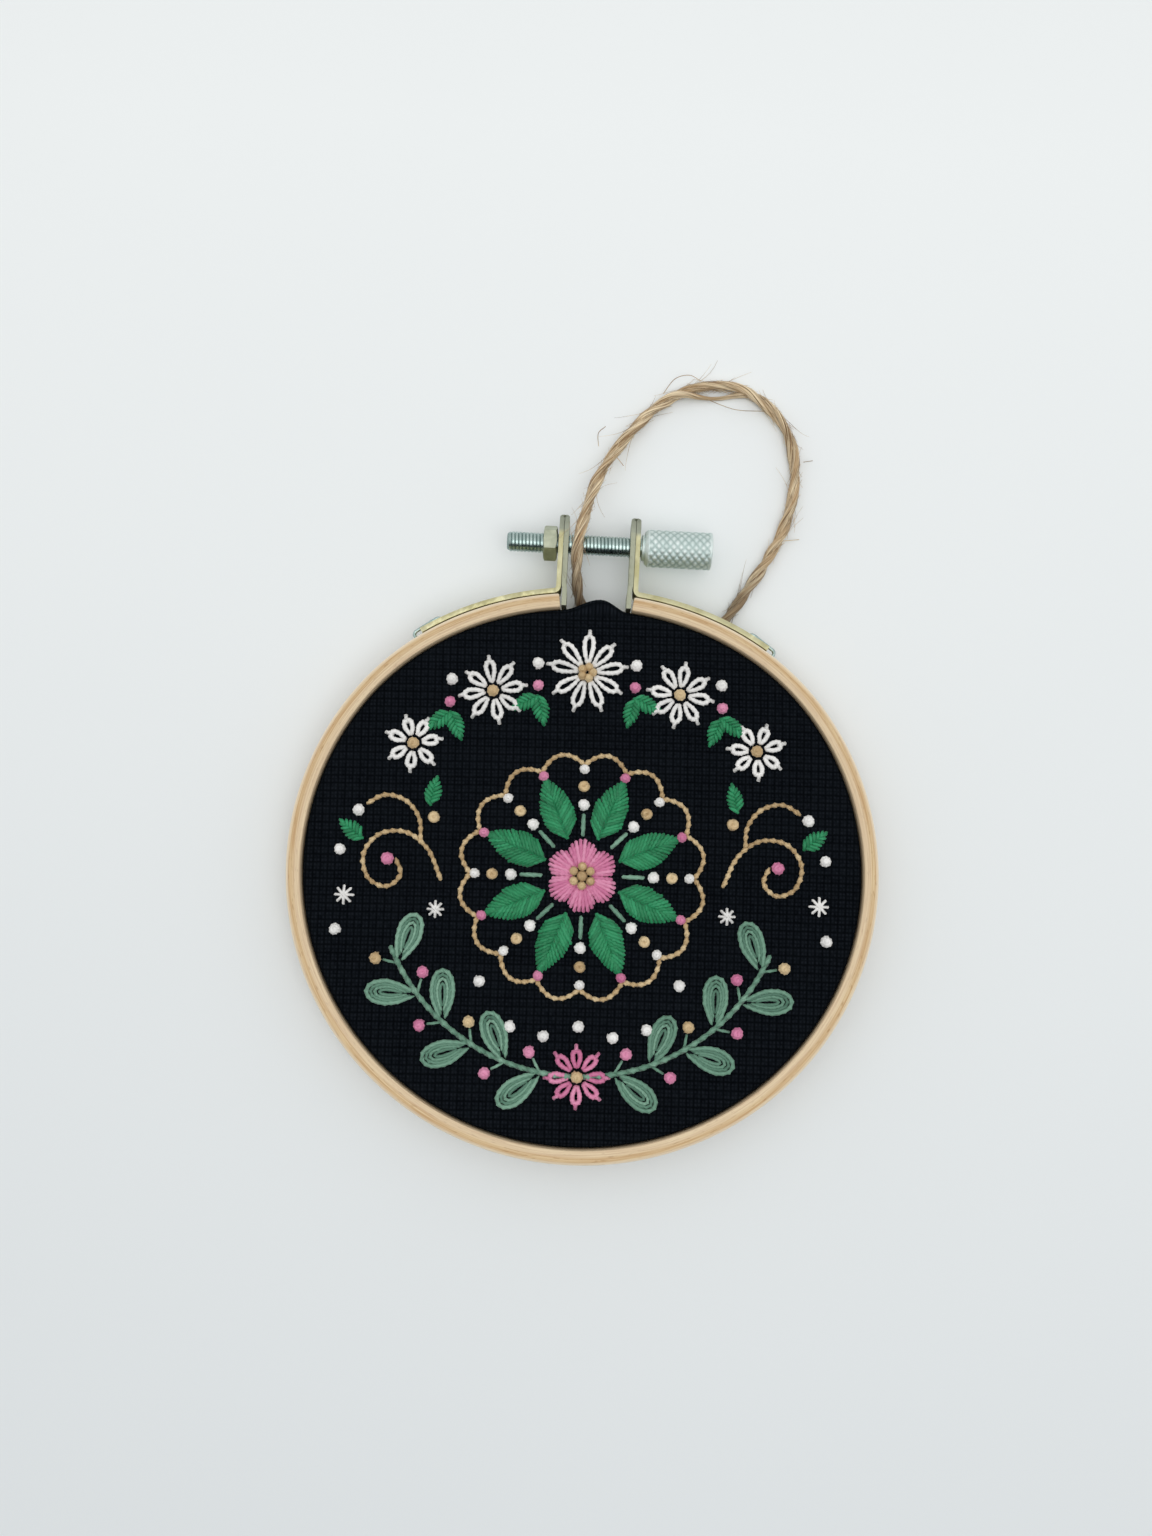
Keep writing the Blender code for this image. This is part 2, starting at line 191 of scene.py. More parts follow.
def makeStage():
    mesh = bpy.data.meshes.new("floor")
    half = 2.5
    mesh.from_pydata([(-half, -half, 0), (half, -half, 0), (half, half, 0), (-half, half, 0)],
                     [], [(0, 1, 2, 3)])
    # smooth white table board: a very slight unevenness of tone, and painted shade darkening it towards -y
    material, tree, shader = startMaterial("painted white board", {"Roughness": 0.9,
                                                                   "Specular IOR Level": 0.15})
    place = addNode(tree, "ShaderNodeTexCoord", {}, {}, "Object")
    cloud = addNode(tree, "ShaderNodeTexNoise", {}, {"Vector": place, "Scale": 6.0, "Detail": 2.0}, "Fac")
    along = addNode(tree, "ShaderNodeSeparateXYZ", {}, {0: place}, 1)
    # painted shade: the share runs from the darkened colour at -y to the plain one at +y
    paintedFalloff = addNode(tree, "ShaderNodeMapRange", {}, {0: along, 1: -0.19, 2: 0.17}, 0)
    uneven = addNode(tree, "ShaderNodeMath", {"operation": "MULTIPLY_ADD"},
                     {0: cloud, 1: 0.12, 2: -0.06}, 0)
    paintedFalloff = addNode(tree, "ShaderNodeMath", {"operation": "ADD", "use_clamp": True},
                   {0: paintedFalloff, 1: uneven}, 0)
    tone = addNode(tree, "ShaderNodeMix", colorMix,
                   {0: paintedFalloff, 6: hexColor(studio["floorPaintedShade"]), 7: hexColor(studio["floor"])}, 2)
    tree.links.new(tone, shader.inputs["Base Color"])
    addPiece("floor", mesh, material)

    world = bpy.data.worlds.new("studio air")
    world.use_nodes = True
    air = world.node_tree
    back = air.nodes["Background"]
    look = addNode(air, "ShaderNodeTexCoord", {}, {}, "Generated")
    across = addNode(air, "ShaderNodeSeparateXYZ", {}, {0: look}, 1)
    share = addNode(air, "ShaderNodeMapRange", {}, {0: across, 1: -0.82, 2: -0.45}, 0)
    sky = addNode(air, "ShaderNodeMix", colorMix,
                  {0: share, 6: hexColor(studio["airLow"]), 7: hexColor(studio["air"])}, 2)
    air.links.new(sky, back.inputs["Color"])
    back.inputs["Strength"].default_value = studio["airStrength"]
    bpy.context.scene.world = world

    for name in ("key", "fill"):
        lamp = bpy.data.lights.new(name + " softbox", "AREA")
        lamp.energy = studio[name + "Watts"]
        lamp.size = studio[name + "Size"]
        made = bpy.data.objects.new(name + "Softbox", lamp)
        made.location = studio[name + "Place"]
        aim = Vector((0, 0, 0)) - Vector(studio[name + "Place"])
        made.rotation_euler = aim.to_track_quat("-Z", "Y").to_euler()
        bpy.context.scene.collection.objects.link(made)


camera = {
    "roll": 3.1,  # degrees that the hoop lies turned in the picture
    "besideX": -1.33,
    "besideY": -1.33,
    "height": 257.4,
    "tilt": 5.386,
    "lens": 26.67,
}


def makeCamera():
    roll = math.radians(camera["roll"])
    tilt = math.radians(camera["tilt"])
    right = Vector((math.cos(roll), math.sin(roll), 0))
    upInPicture = Vector((-math.sin(roll), math.cos(roll), 0))
    ahead = upInPicture * math.sin(tilt) - Vector((0, 0, math.cos(tilt)))
    up = upInPicture * math.cos(tilt) + Vector((0, 0, math.sin(tilt)))
    eye = Vector((0, hoop["middleY"], camera["height"]))
    eye += right * camera["besideX"] + upInPicture * camera["besideY"]
    lens = bpy.data.cameras.new("camera")
    lens.sensor_fit = "VERTICAL"
    lens.sensor_height = 36
    lens.lens = camera["lens"]
    lens.clip_start = 0.005
    made = bpy.data.objects.new("camera", lens)
    turn = Matrix((right, up, -ahead)).transposed().to_4x4()
    made.matrix_world = Matrix.Translation(eye * mm) @ turn
    bpy.context.scene.collection.objects.link(made)
    bpy.context.scene.camera = made


makeStage()
makeCamera()
# colours as the materials give them, with no film look laid over
bpy.context.scene.view_settings.view_transform = "Standard"

print("stage: the strand tree, for floss, twine and wire")


def makeStrandTree():
    # a lobed, twisted strand along each line of a mesh of edges
    tree = bpy.data.node_groups.new("twisted strand", "GeometryNodeTree")
    for name, kind in (("Lines", "NodeSocketGeometry"), ("Radius", "NodeSocketFloat"),
                       ("Sides", "NodeSocketInt"), ("Lobes", "NodeSocketFloat"),
                       ("Lobe depth", "NodeSocketFloat"), ("Twist", "NodeSocketFloat"),
                       ("Seed", "NodeSocketInt"), ("Material", "NodeSocketMaterial")):
        tree.interface.new_socket(name=name, in_out="INPUT", socket_type=kind)
    tree.interface.new_socket(name="Strands", in_out="OUTPUT", socket_type="NodeSocketGeometry")
    given = tree.nodes.new("NodeGroupInput").outputs
    line = addNode(tree, "GeometryNodeMeshToCurve", {}, {"Mesh": given["Lines"]}).outputs[0]
    order = addNode(tree, "GeometryNodeInputIndex").outputs[0]
    draw = addNode(tree, "FunctionNodeRandomValue", {"data_type": "FLOAT"},
                   {"ID": order, "Seed": given["Seed"]}).outputs[1]
    line = addNode(tree, "GeometryNodeStoreNamedAttribute", {"data_type": "FLOAT", "domain": "CURVE"},
                   {"Geometry": line, "Name": "tone", "Value": draw}).outputs[0]
    run = addNode(tree, "GeometryNodeSplineParameter").outputs["Length"]
    line = addNode(tree, "GeometryNodeStoreNamedAttribute", {"data_type": "FLOAT", "domain": "POINT"},
                   {"Geometry": line, "Name": "run", "Value": run}).outputs[0]
    tilt = addNode(tree, "ShaderNodeMath", {"operation": "MULTIPLY"}, {0: run, 1: given["Twist"]})
    line = addNode(tree, "GeometryNodeSetCurveTilt", {}, {"Curve": line, "Tilt": tilt.outputs[0]})
    ring = addNode(tree, "GeometryNodeCurvePrimitiveCircle", {"mode": "RADIUS"},
                   {"Resolution": given["Sides"], "Radius": 1.0}).outputs[0]
    place = addNode(tree, "GeometryNodeInputPosition").outputs[0]
    parts = addNode(tree, "ShaderNodeSeparateXYZ", {}, {0: place}).outputs
    angle = addNode(tree, "ShaderNodeMath", {"operation": "ARCTAN2"}, {0: parts[1], 1: parts[0]})
    turns = addNode(tree, "ShaderNodeMath", {"operation": "MULTIPLY"},
                    {0: angle.outputs[0], 1: given["Lobes"]})
    wave = addNode(tree, "ShaderNodeMath", {"operation": "COSINE"}, {0: turns.outputs[0]})
    depth = addNode(tree, "ShaderNodeMath", {"operation": "MULTIPLY_ADD"},
                    {0: wave.outputs[0], 1: given["Lobe depth"], 2: 1.0})
    size = addNode(tree, "ShaderNodeMath", {"operation": "MULTIPLY"},
                   {0: depth.outputs[0], 1: given["Radius"]})
    lobed = addNode(tree, "ShaderNodeVectorMath", {"operation": "SCALE"},
                    {0: place, "Scale": size.outputs[0]})
    ring = addNode(tree, "GeometryNodeSetPosition", {},
                   {"Geometry": ring, "Position": lobed.outputs[0]}).outputs[0]
    ring = addNode(tree, "GeometryNodeStoreNamedAttribute",
                   {"data_type": "FLOAT_VECTOR", "domain": "POINT"},
                   {"Geometry": ring, "Name": "around",
                    "Value": addNode(tree, "GeometryNodeInputPosition").outputs[0]}).outputs[0]
    thick = addNode(tree, "GeometryNodeInputNamedAttribute", {"data_type": "FLOAT"},
                    {"Name": "thick"}).outputs[0]
    skin = addNode(tree, "GeometryNodeCurveToMesh", {},
                   {"Curve": line.outputs[0], "Profile Curve": ring, "Scale": thick,
                    "Fill Caps": True}).outputs[0]
    skin = addNode(tree, "GeometryNodeSetShadeSmooth", {}, {"Geometry": skin}).outputs[0]
    skin = addNode(tree, "GeometryNodeRealizeInstances", {}, {"Geometry": skin}).outputs[0]
    skin = addNode(tree, "GeometryNodeSetMaterial", {},
                   {"Geometry": skin, "Material": given["Material"]}).outputs[0]
    tree.links.new(skin, addNode(tree, "NodeGroupOutput").inputs[0])
    return tree


strandTree = makeStrandTree()


def strandsAlong(name, lines, values):
    # lines are lists of (x, y, z, thickness share) in millimetres
    points, edges, thick = [], [], []
    for line in lines:
        first = len(points)
        for x, y, z, share in line:
            points.append((x * mm, y * mm, z * mm))
            thick.append(share)
        edges += [(first + k, first + k + 1) for k in range(len(line) - 1)]
    mesh = bpy.data.meshes.new(name)
    mesh.from_pydata(points, edges, [])
    mesh.attributes.new("thick", "FLOAT", "POINT").data.foreach_set("value", thick)
    made = addPiece(name, mesh)
    modifier = made.modifiers.new("strand", "NODES")
    modifier.node_group = strandTree
    for socket in strandTree.interface.items_tree:
        if socket.name in values:
            modifier[socket.identifier] = values[socket.name]
    return applied(made)


def strandFibres(tree, across, along, detail=3.0):
    # noise drawn out along the strand; across and along are sizes in millimetres
    around = addNode(tree, "ShaderNodeAttribute", {"attribute_name": "around"}, {}, "Vector")
    run = addNode(tree, "ShaderNodeAttribute", {"attribute_name": "run"}, {}, "Fac")
    tone = addNode(tree, "ShaderNodeAttribute", {"attribute_name": "tone"}, {}, "Fac")
    parts = addNode(tree, "ShaderNodeSeparateXYZ", {}, {0: around}).outputs
    length = addNode(tree, "ShaderNodeMath", {"operation": "MULTIPLY"}, {0: run, 1: across / along}, 0)
    place = addNode(tree, "ShaderNodeCombineXYZ", {}, {0: parts[0], 1: parts[1], 2: length}, 0)
    fibres = addNode(tree, "ShaderNodeTexNoise", {"noise_dimensions": "4D"},
                     {"Vector": place, "W": tone, "Scale": 1 / (across * mm), "Detail": detail}, "Fac")
    return fibres, tone


def evenSteps(points, step):
    # a smooth curve through the points, read at even steps
    ends = [2 * points[0] - points[1]] + points + [2 * points[-1] - points[-2]]
    fine = []
    for a, b, c, d in zip(ends, ends[1:], ends[2:], ends[3:]):
        for k in range(24):
            t = k / 24
            fine.append(0.5 * (2 * b + (c - a) * t + (2 * a - 5 * b + 4 * c - d) * t**2)
                        + 0.5 * (3 * b - a - 3 * c + d) * t**3)
    fine.append(points[-1])
    lengths = [0.0]
    for first, second in zip(fine, fine[1:]):
        lengths.append(lengths[-1] + (second - first).length)
    count = max(1, round(lengths[-1] / step))
    even, k = [], 0
    for i in range(count + 1):
        target = lengths[-1] * i / count
        while k < len(fine) - 2 and lengths[k + 1] < target:
            k += 1
        share = (target - lengths[k]) / max(lengths[k + 1] - lengths[k], 1e-9)
        even.append(fine[k].lerp(fine[k + 1], share))
    return even


print("stage: twine")

twine = {
    "step": 0.45,
    "plyRadius": 0.88,
    "plyOffset": 0.42,
    "lay": 17.0,  # one full turn of the two plies
    "hiddenOut": 0.55,  # where it lies under the ring, from the opening's edge
    "floor": 1.42,
    "gapMiddle": 24.6,  # x where the plies part at the loop's top
    "gapReach": 12.5,
    "gapOpen": 2.2,  # how far the thin ply stands off there
    "gapThin": 0.52,  # and how much of its thickness it has lost
    "gapDrop": 0.75,
    "fibres": 900,
    "fibreRadius": 0.055,
    "seed": 11,
    "deep": "6e5334",
    "pale": "f4e1bd",
    "tan": "b29066",
    # painted shade towards the ring
    "wearAndPaintedLight": "4a3826",
}

# The same route as the solid: up through the split, over the screw, round the loop and back under.
lying = twine["floor"]
twineSeen = [
    (-1.6, 58.8, 1.6), (-3.5, 60.0, 3.2), (-4.4, 62.8, 5.9), (-4.8, 67.0, 9.0), (-4.7, 72.4, 11.2),
    (-3.6, 78.4, 9.6), (-1.6, 87.4, 5.6), (1.8, 95.1, 3.2), (6.8, 102.5, 2.0), (12.1, 108.3, 1.5),
    (19.0, 112.4, lying), (26.6, 113.8, lying), (33.0, 112.4, lying), (38.8, 108.2, lying),
    (42.6, 102.6, lying), (44.3, 95.0, lying), (44.1, 88.5, lying), (42.3, 80.8, lying),
    (38.9, 73.3, lying), (35.2, 67.0, lying), (31.4, 60.9, lying), (28.6, 57.0, lying),
]

# single fibres that have come loose from it, from the hoop's middle
twineLoose = [
    [(23, 110.6, 1.6), (26.5, 109.0, 2.2), (30.5, 107.9, 2.4), (36.5, 108.2, 1.8)],
    [(13.0, 111.3, 1.5), (15.5, 114.6, 2.4), (18.8, 115.6, 2.6), (21.6, 114.6, 2.0)],
    [(0.0, 102.0, 3.2), (-1.6, 100.2, 3.4), (-1.4, 97.2, 3.2)],
    [(2.8, 94.6, 4.2), (4.6, 92.8, 3.4)],
    [(46.2, 96.6, 1.6), (48.4, 97.2, 1.2)],
    [(41.0, 77.5, 1.5), (46.0, 78.4, 0.9)],
]


def juteMaterial():
    # natural two-ply jute: coarse dry bast fibres, matt, with pale and dark fibres side by side
    material, tree, shader = startMaterial("spun natural jute", {
        "Roughness": 0.85, "Specular IOR Level": 0.25, "Sheen Weight": 0.25, "Sheen Roughness": 0.5})
    fine, _ = strandFibres(tree, 0.26, 7.0)
    broad, _ = strandFibres(tree, 0.8, 9.0, 1.0)
    place = addNode(tree, "ShaderNodeTexCoord", {}, {}, "Object")
    along = addNode(tree, "ShaderNodeSeparateXYZ", {}, {0: place}, 1)
    base = hexColor(twine["deep"])
    # fine and broad fibres, and then painted shade: the twine is darkened towards the ring, below y 65 mm,
    # where it runs down into the split and under the ring
    for field, low, high, first, last, color in ((fine, 0.38, 0.61, 0.0, 1.0, "pale"),
                                                 (broad, 0.42, 0.62, 0.0, 0.6, "tan"),
                                                 (along, 54 * mm, 65 * mm, 0.62, 0.0, "wearAndPaintedLight")):
        share = addNode(tree, "ShaderNodeMapRange", {}, {0: field, 1: low, 2: high, 3: first, 4: last}, 0)
        base = addNode(tree, "ShaderNodeMix", colorMix,
                       {0: share, 6: base, 7: hexColor(twine[color])}, 2)
    tree.links.new(base, shader.inputs["Base Color"])
    bump = addNode(tree, "ShaderNodeBump", {},
                   {"Strength": 0.9, "Distance": 0.16 * mm, "Height": fine}, 0)
    tree.links.new(bump, shader.inputs["Normal"])
    return material


def twinePath():
    shift = Vector((0, hoop["middleY"], 0))
    start = [hoopPoint(math.radians(a), twine["hiddenOut"], twine["floor"]) for a in (10, 6, 2)]
    end = [hoopPoint(math.radians(a), twine["hiddenOut"] + more, twine["floor"])
           for a, more in ((24.5, 0.7), (20.5, 0.1), (16, 0), (12, 0))]
    return evenSteps(start + [Vector(p) + shift for p in twineSeen] + end, twine["step"])


def pathFrames(path):
    # a side and an up direction at each point, turning as little as they can
    side = Vector((0, 0, 1))
    frames = []
    for i, point in enumerate(path):
        ahead = (path[min(i + 1, len(path) - 1)] - path[max(i - 1, 0)]).normalized()
        side = (side - ahead * side.dot(ahead)).normalized()
        frames.append((point, ahead, side, ahead.cross(side)))
    return frames


def makeTwine():
    material = juteMaterial()
    draw = random.Random(twine["seed"])
    frames = pathFrames(twinePath())
    plies = [[], []]
    turn = 0.0
    turns, windows = [], []
    for point, ahead, side, other in frames:
        away = (point.x - twine["gapMiddle"]) / twine["gapReach"]
        window = math.cos(math.pi / 2 * away) ** 2 if abs(away) < 1 and point.y > 90 else 0.0
        uneven = 1 + 0.3 * math.sin(len(turns) * 0.045) + 0.15 * math.sin(len(turns) * 0.13)
        turn += 2 * math.pi * twine["step"] / twine["lay"] * (1 - 0.9 * window) * uneven
        turns.append(turn)
        windows.append(window)
    middle = max(range(len(frames)), key=lambda i: windows[i])
    # at the gap the thin ply lies on the hoop's side of the loop
    inward = Vector((0, -1, 0))
    _, _, side, other = frames[middle]
    shift = math.atan2(other.dot(inward), side.dot(inward)) - turns[middle]
    wander = [draw.uniform(0, 6.28) for _ in range(4)]
    for i, (point, ahead, side, other) in enumerate(frames):
        for ply, sign in ((0, 1), (1, -1)):
            angle = turns[i] + shift
            window = windows[i]
            offset = twine["plyOffset"] + window * (twine["gapOpen"] if ply == 0 else -0.15)
            thick = 1 - twine["gapThin"] * window if ply == 0 else 1 + 0.16 * window
            slow, quick = math.sin(i * 0.17 + wander[ply]), math.sin(i * 0.53 + wander[2 + ply])
            thick *= 1 + 0.07 * slow + 0.04 * quick
            place = point + sign * offset * (side * math.cos(angle) + other * math.sin(angle))
            place.z -= twine["gapDrop"] * window if ply == 0 else 0
            place.z = max(place.z, twine["plyRadius"] * thick * 1.06 + 0.06)
            plies[ply].append((*place, thick))
    cord = strandsAlong("twinePlies", plies, {
        "Radius": twine["plyRadius"] * mm, "Sides": 27, "Lobes": 9.0, "Lobe depth": 0.06,
        "Twist": 190.0, "Seed": 3, "Material": material})

    hairs = []
    for _ in range(twine["fibres"]):
        i = draw.randrange(30, len(frames) - 45)
        point, ahead, side, other = frames[i]
        around = draw.uniform(0, 2 * math.pi)
        out = side * math.cos(around) + other * math.sin(around)
        along = ahead * draw.choice((-1, 1))
        length = draw.uniform(1.2, 3.8) if draw.random() < 0.92 else draw.uniform(5, 11)
        curl = side * math.cos(around + 1.6) + other * math.sin(around + 1.6)
        curl *= draw.uniform(-0.35, 0.35)
        stand = draw.uniform(0.04, 0.34) if length < 5 else draw.uniform(0.15, 0.45)
        sway, beat = draw.uniform(0, 6.28), draw.uniform(3, 6)
        line = []
        for k in range(8):
            t = k / 7
            wave = 0.05 * length * math.sin(sway + beat * t) * t
            place = point + out * (0.9 + stand * length * t ** 1.7 + wave) + along * length * t * 0.9
            place += curl * length * t * t
            place.z = max(place.z, 0.12)
            line.append((*place, 1.1 - 0.7 * t))
        hairs.append(line)
    for loose in twineLoose:
        bent = evenSteps([Vector((x, y + hoop["middleY"], z)) for x, y, z in loose], 0.5)
        hairs.append([(*p, 1.5) for p in bent])
    fibres = strandsAlong("twineFibres", hairs, {
        "Radius": twine["fibreRadius"] * mm, "Sides": 4, "Lobes": 0.0, "Lobe depth": 0.0,
        "Twist": 0.0, "Seed": 4, "Material": material})

    onHoop(cord, "jute", "twine")
    onHoop(fibres, "jute")
    path = [p * mm for p, _, _, _ in frames]
    length = sum((b - a).length for a, b in zip(path, path[1:]))


makeTwine()

print("stage: wooden rings")

woodSettings = {
    "steps": 288,
    # rounding of the edges: front outer, back outer, back inner, front inner
    "outerEdges": (0.95, 0.7, 0.5, 0.35),
    "innerEdges": (0.4, 0.4, 0.5, 0.4),
    "pale": "dcc59b",
    "tan": "bb9568",
    "dark": "9a7144",
    # sanding wear and painted highlight on the front edges
    "wearAndPaintedLight": "eddfc6",
}


def woodMaterial():
    # sanded, steam-bent beech: straight grain along the ring, with short darker flecks
    material, tree, shader = startMaterial("steam-bent sanded beech", {"Specular IOR Level": 0.35})
    place = addNode(tree, "ShaderNodeUVMap", {"uv_map": "grain"}, {}, 0)
    # grain lines 0.28 mm wide and about 14 mm long, bands 2.4 mm wide, flecks 0.33 by 2 mm,
    # all from a UV map in millimetres
    fields = []
    for stretch, detail, rough in (((0.07, 3.6, 1.0), 4.0, 0.6), ((0.022, 0.42, 1.0), 2.0, 0.5),
                                   ((0.5, 3.0, 1.0), 1.0, 0.5)):
        spot = addNode(tree, "ShaderNodeMapping", {}, {"Vector": place, "Scale": stretch}, 0)
        fields.append(addNode(tree, "ShaderNodeTexNoise", {}, {
            "Vector": spot, "Scale": 1.0, "Detail": detail, "Roughness": rough}, "Fac"))
    tone = hexColor(woodSettings["tan"])
    for field, low, high, most, color in zip(fields, (0.36, 0.4, 0.62), (0.60, 0.7, 0.72),
                                             (1.0, 0.4, 0.55), ("pale", "tan", "dark")):
        share = addNode(tree, "ShaderNodeMapRange", {}, {0: field, 1: low, 2: high, 4: most}, 0)
        tone = addNode(tree, "ShaderNodeMix", colorMix,
                       {0: share, 6: tone, 7: hexColor(woodSettings[color])}, 2)
    # painted highlight, with sanding wear: the front edges and the face by the cloth are lightened
    wearAndPaintedLightShare = addNode(tree, "ShaderNodeAttribute", {"attribute_name": "wearAndPaintedLight"}, {}, "Fac")
    tone = addNode(tree, "ShaderNodeMix", colorMix,
                   {0: wearAndPaintedLightShare, 6: tone, 7: hexColor(woodSettings["wearAndPaintedLight"])}, 2)
    tree.links.new(tone, shader.inputs["Base Color"])
    rough = addNode(tree, "ShaderNodeMapRange", {}, {0: fields[0], 1: 0.3, 2: 0.7, 3: 0.48, 4: 0.66}, 0)
    tree.links.new(rough, shader.inputs["Roughness"])
    bump = addNode(tree, "ShaderNodeBump", {},
                   {"Strength": 0.5, "Distance": 0.05 * mm, "Height": fields[0]}, 0)
    tree.links.new(bump, shader.inputs["Normal"])
    return material


def ringSection(inner, outer, back, front, edges):
    # (out, z, share of sanding wear and painted highlight) round the section; edges: front outer, back
    # outer, back inner, front inner
    corners = [(outer, front, 90, edges[0], 1, 1), (outer, back, 0, edges[1], 1, -1),
               (inner, back, -90, edges[2], -1, -1), (inner, front, -180, edges[3], -1, 1)]
    section = []
    for out, z, begin, edge, sideOut, sideUp in corners:
        for step in range(5):
            turn = math.radians(begin - 90 * step / 4)
            wearAndHighlight = 0.0
            if sideUp > 0:
                wearAndHighlight = 0.9 * min(1, step / 2) if sideOut > 0 else 0.35
            section.append((out - sideOut * edge + edge * math.cos(turn),
                            z - sideUp * edge + edge * math.sin(turn), wearAndHighlight))
    # across the front face, paler towards the cloth: sanding wear with a painted highlight by the inner edge
    wide = outer - inner
    section += [(inner + wide * 0.34, front, 0.32), (inner + wide * 0.5, front, 0.04),
                (inner + wide * 0.62, front, 0.0)]
    return section


def makeRing(name, section, start, end, material):
    closed = end - start >= 2 * math.pi
    steps = woodSettings["steps"]
    angles = [start + (end - start) * k / steps for k in range(steps + 1)]
    insets = [0.0] * len(angles)
    if not closed:
        # the sawn ends are eased a little
        ease = math.radians(0.28)
        angles = [start, start + ease / 3, start + ease] + angles[1:-1]
        angles += [end - ease, end - ease / 3, end]
        insets = [0.28, 0.08, 0.0] + [0.0] * (len(angles) - 6) + [0.0, 0.08, 0.28]
    middleOut = sum(p[0] for p in section) / len(section)
    middleZ = sum(p[1] for p in section) / len(section)
    count = len(section)
    around = [0.0]
    for (a, b, _), (c, d, _) in zip(section, section[1:] + section[:1]):
        around.append(around[-1] + math.hypot(c - a, d - b))
    points, faces, corners = [], [], []
    for angle, inset in zip(angles, insets):
        for out, z, _ in section:
            pullOut = inset * (1 if out > middleOut else -1)
            pullUp = inset * (1 if z > middleZ else -1)
            points.append(hoopPoint(angle, out - pullOut, z - pullUp))
    meanRadius = openingRadius(math.pi) + middleOut
    for k in range(len(angles) - 1):
        for i in range(count):
            j = (i + 1) % count
            faces.append((k * count + i, k * count + j, (k + 1) * count + j, (k + 1) * count + i))
            along = (angles[k] * meanRadius, angles[k + 1] * meanRadius)
            corners += [(along[0], around[i]), (along[0], around[i + 1]),
                        (along[1], around[i + 1]), (along[1], around[i])]
    if not closed:
        last = (len(angles) - 1) * count
        for ring in (list(range(count)), [last + i for i in reversed(range(count))]):
            faces.append(ring)
            for v in ring:
                out, z, _ = section[v % count]
                corners.append((out * 0.8 + 300, z * 1.6))
    mesh = meshFromPoints(name, points, faces)
    layer = mesh.uv_layers.new(name="grain")
    layer.data.foreach_set("uv", [c for pair in corners for c in pair])
    wearAndPaintedLight = mesh.attributes.new("wearAndPaintedLight", "FLOAT", "POINT")
    wearAndPaintedLight.data.foreach_set("value", [p[2] for p in section] * len(angles))
    tidyMesh(mesh)
    return addPiece(name, mesh, material, 40)


def makeRings():
    material = woodMaterial()
    half = math.radians(hoop["splitHalf"])
    outer = ringSection(0, hoop["wall"], hoop["outerBack"], hoop["outerFront"],
                        woodSettings["outerEdges"])
    onHoop(makeRing("outerRing", outer, half, 2 * math.pi - half, material), "wood", "outer_ring")
    out = -(2 * hoop["clearance"] + hoop["clothRoom"])
    inner = ringSection(out - hoop["wall"], out, 0, hoop["innerFront"], woodSettings["innerEdges"])
    onHoop(makeRing("innerRing", inner, 0, 2 * math.pi, material), "wood", "inner_ring")


makeRings()

print("stage: cloth")

weave = {
    "across": 1.58,  # one block of the weave along a row, in millimetres
    "upAtMiddle": 1.7436,  # one block up the cloth at its middle
    "upChange": 0.001818,  # blocks are drawn longer towards the bottom
    "gap": 0.15,  # share of a block that its edge takes
    "gapDepth": 0.14,
    "holeDepth": 0.26,
    "thick": 0.9,
    "flatEnd": -1.5,  # where the face turns over, from the opening's edge
    "turnRadius": 1.2,
    "hem": 2.95,
    "bumpRise": 2.45,
    "bumpTop": 1.1,
    "bumpLeft": 8.6,
    "bumpRight": 6.3,
    "edgeSteps": 432,
    "reach": 41,  # blocks each way from the middle
    "seed": 5,
    "deep": "030508",
    "soft": "0e1216",
    "lit": "1c2026",
    "hole": "040608",
}


def weaveToFlat(i, j):
    # block numbers to millimetres from the hoop's middle
    x = i * weave["across"]
    y = weave["upAtMiddle"] / weave["upChange"] * (1 - math.exp(-weave["upChange"] * j))
    x += 0.35 * math.sin(y / 33) * (x / 60) + 0.25 * math.sin(y / 21 + 1)
    y += 0.45 * math.cos(x / 38)
    turn = math.radians(hoop["weaveTurn"])
    return (x * math.cos(turn) - y * math.sin(turn), x * math.sin(turn) + y * math.cos(turn))


def flatToWeave(x, y):
    i, j = x / weave["across"], y / 1.7
    for _ in range(6):
        nowX, nowY = weaveToFlat(i, j)
        i += (x - nowX) / weave["across"]
        j += (y - nowY) / 1.72
    return i, j


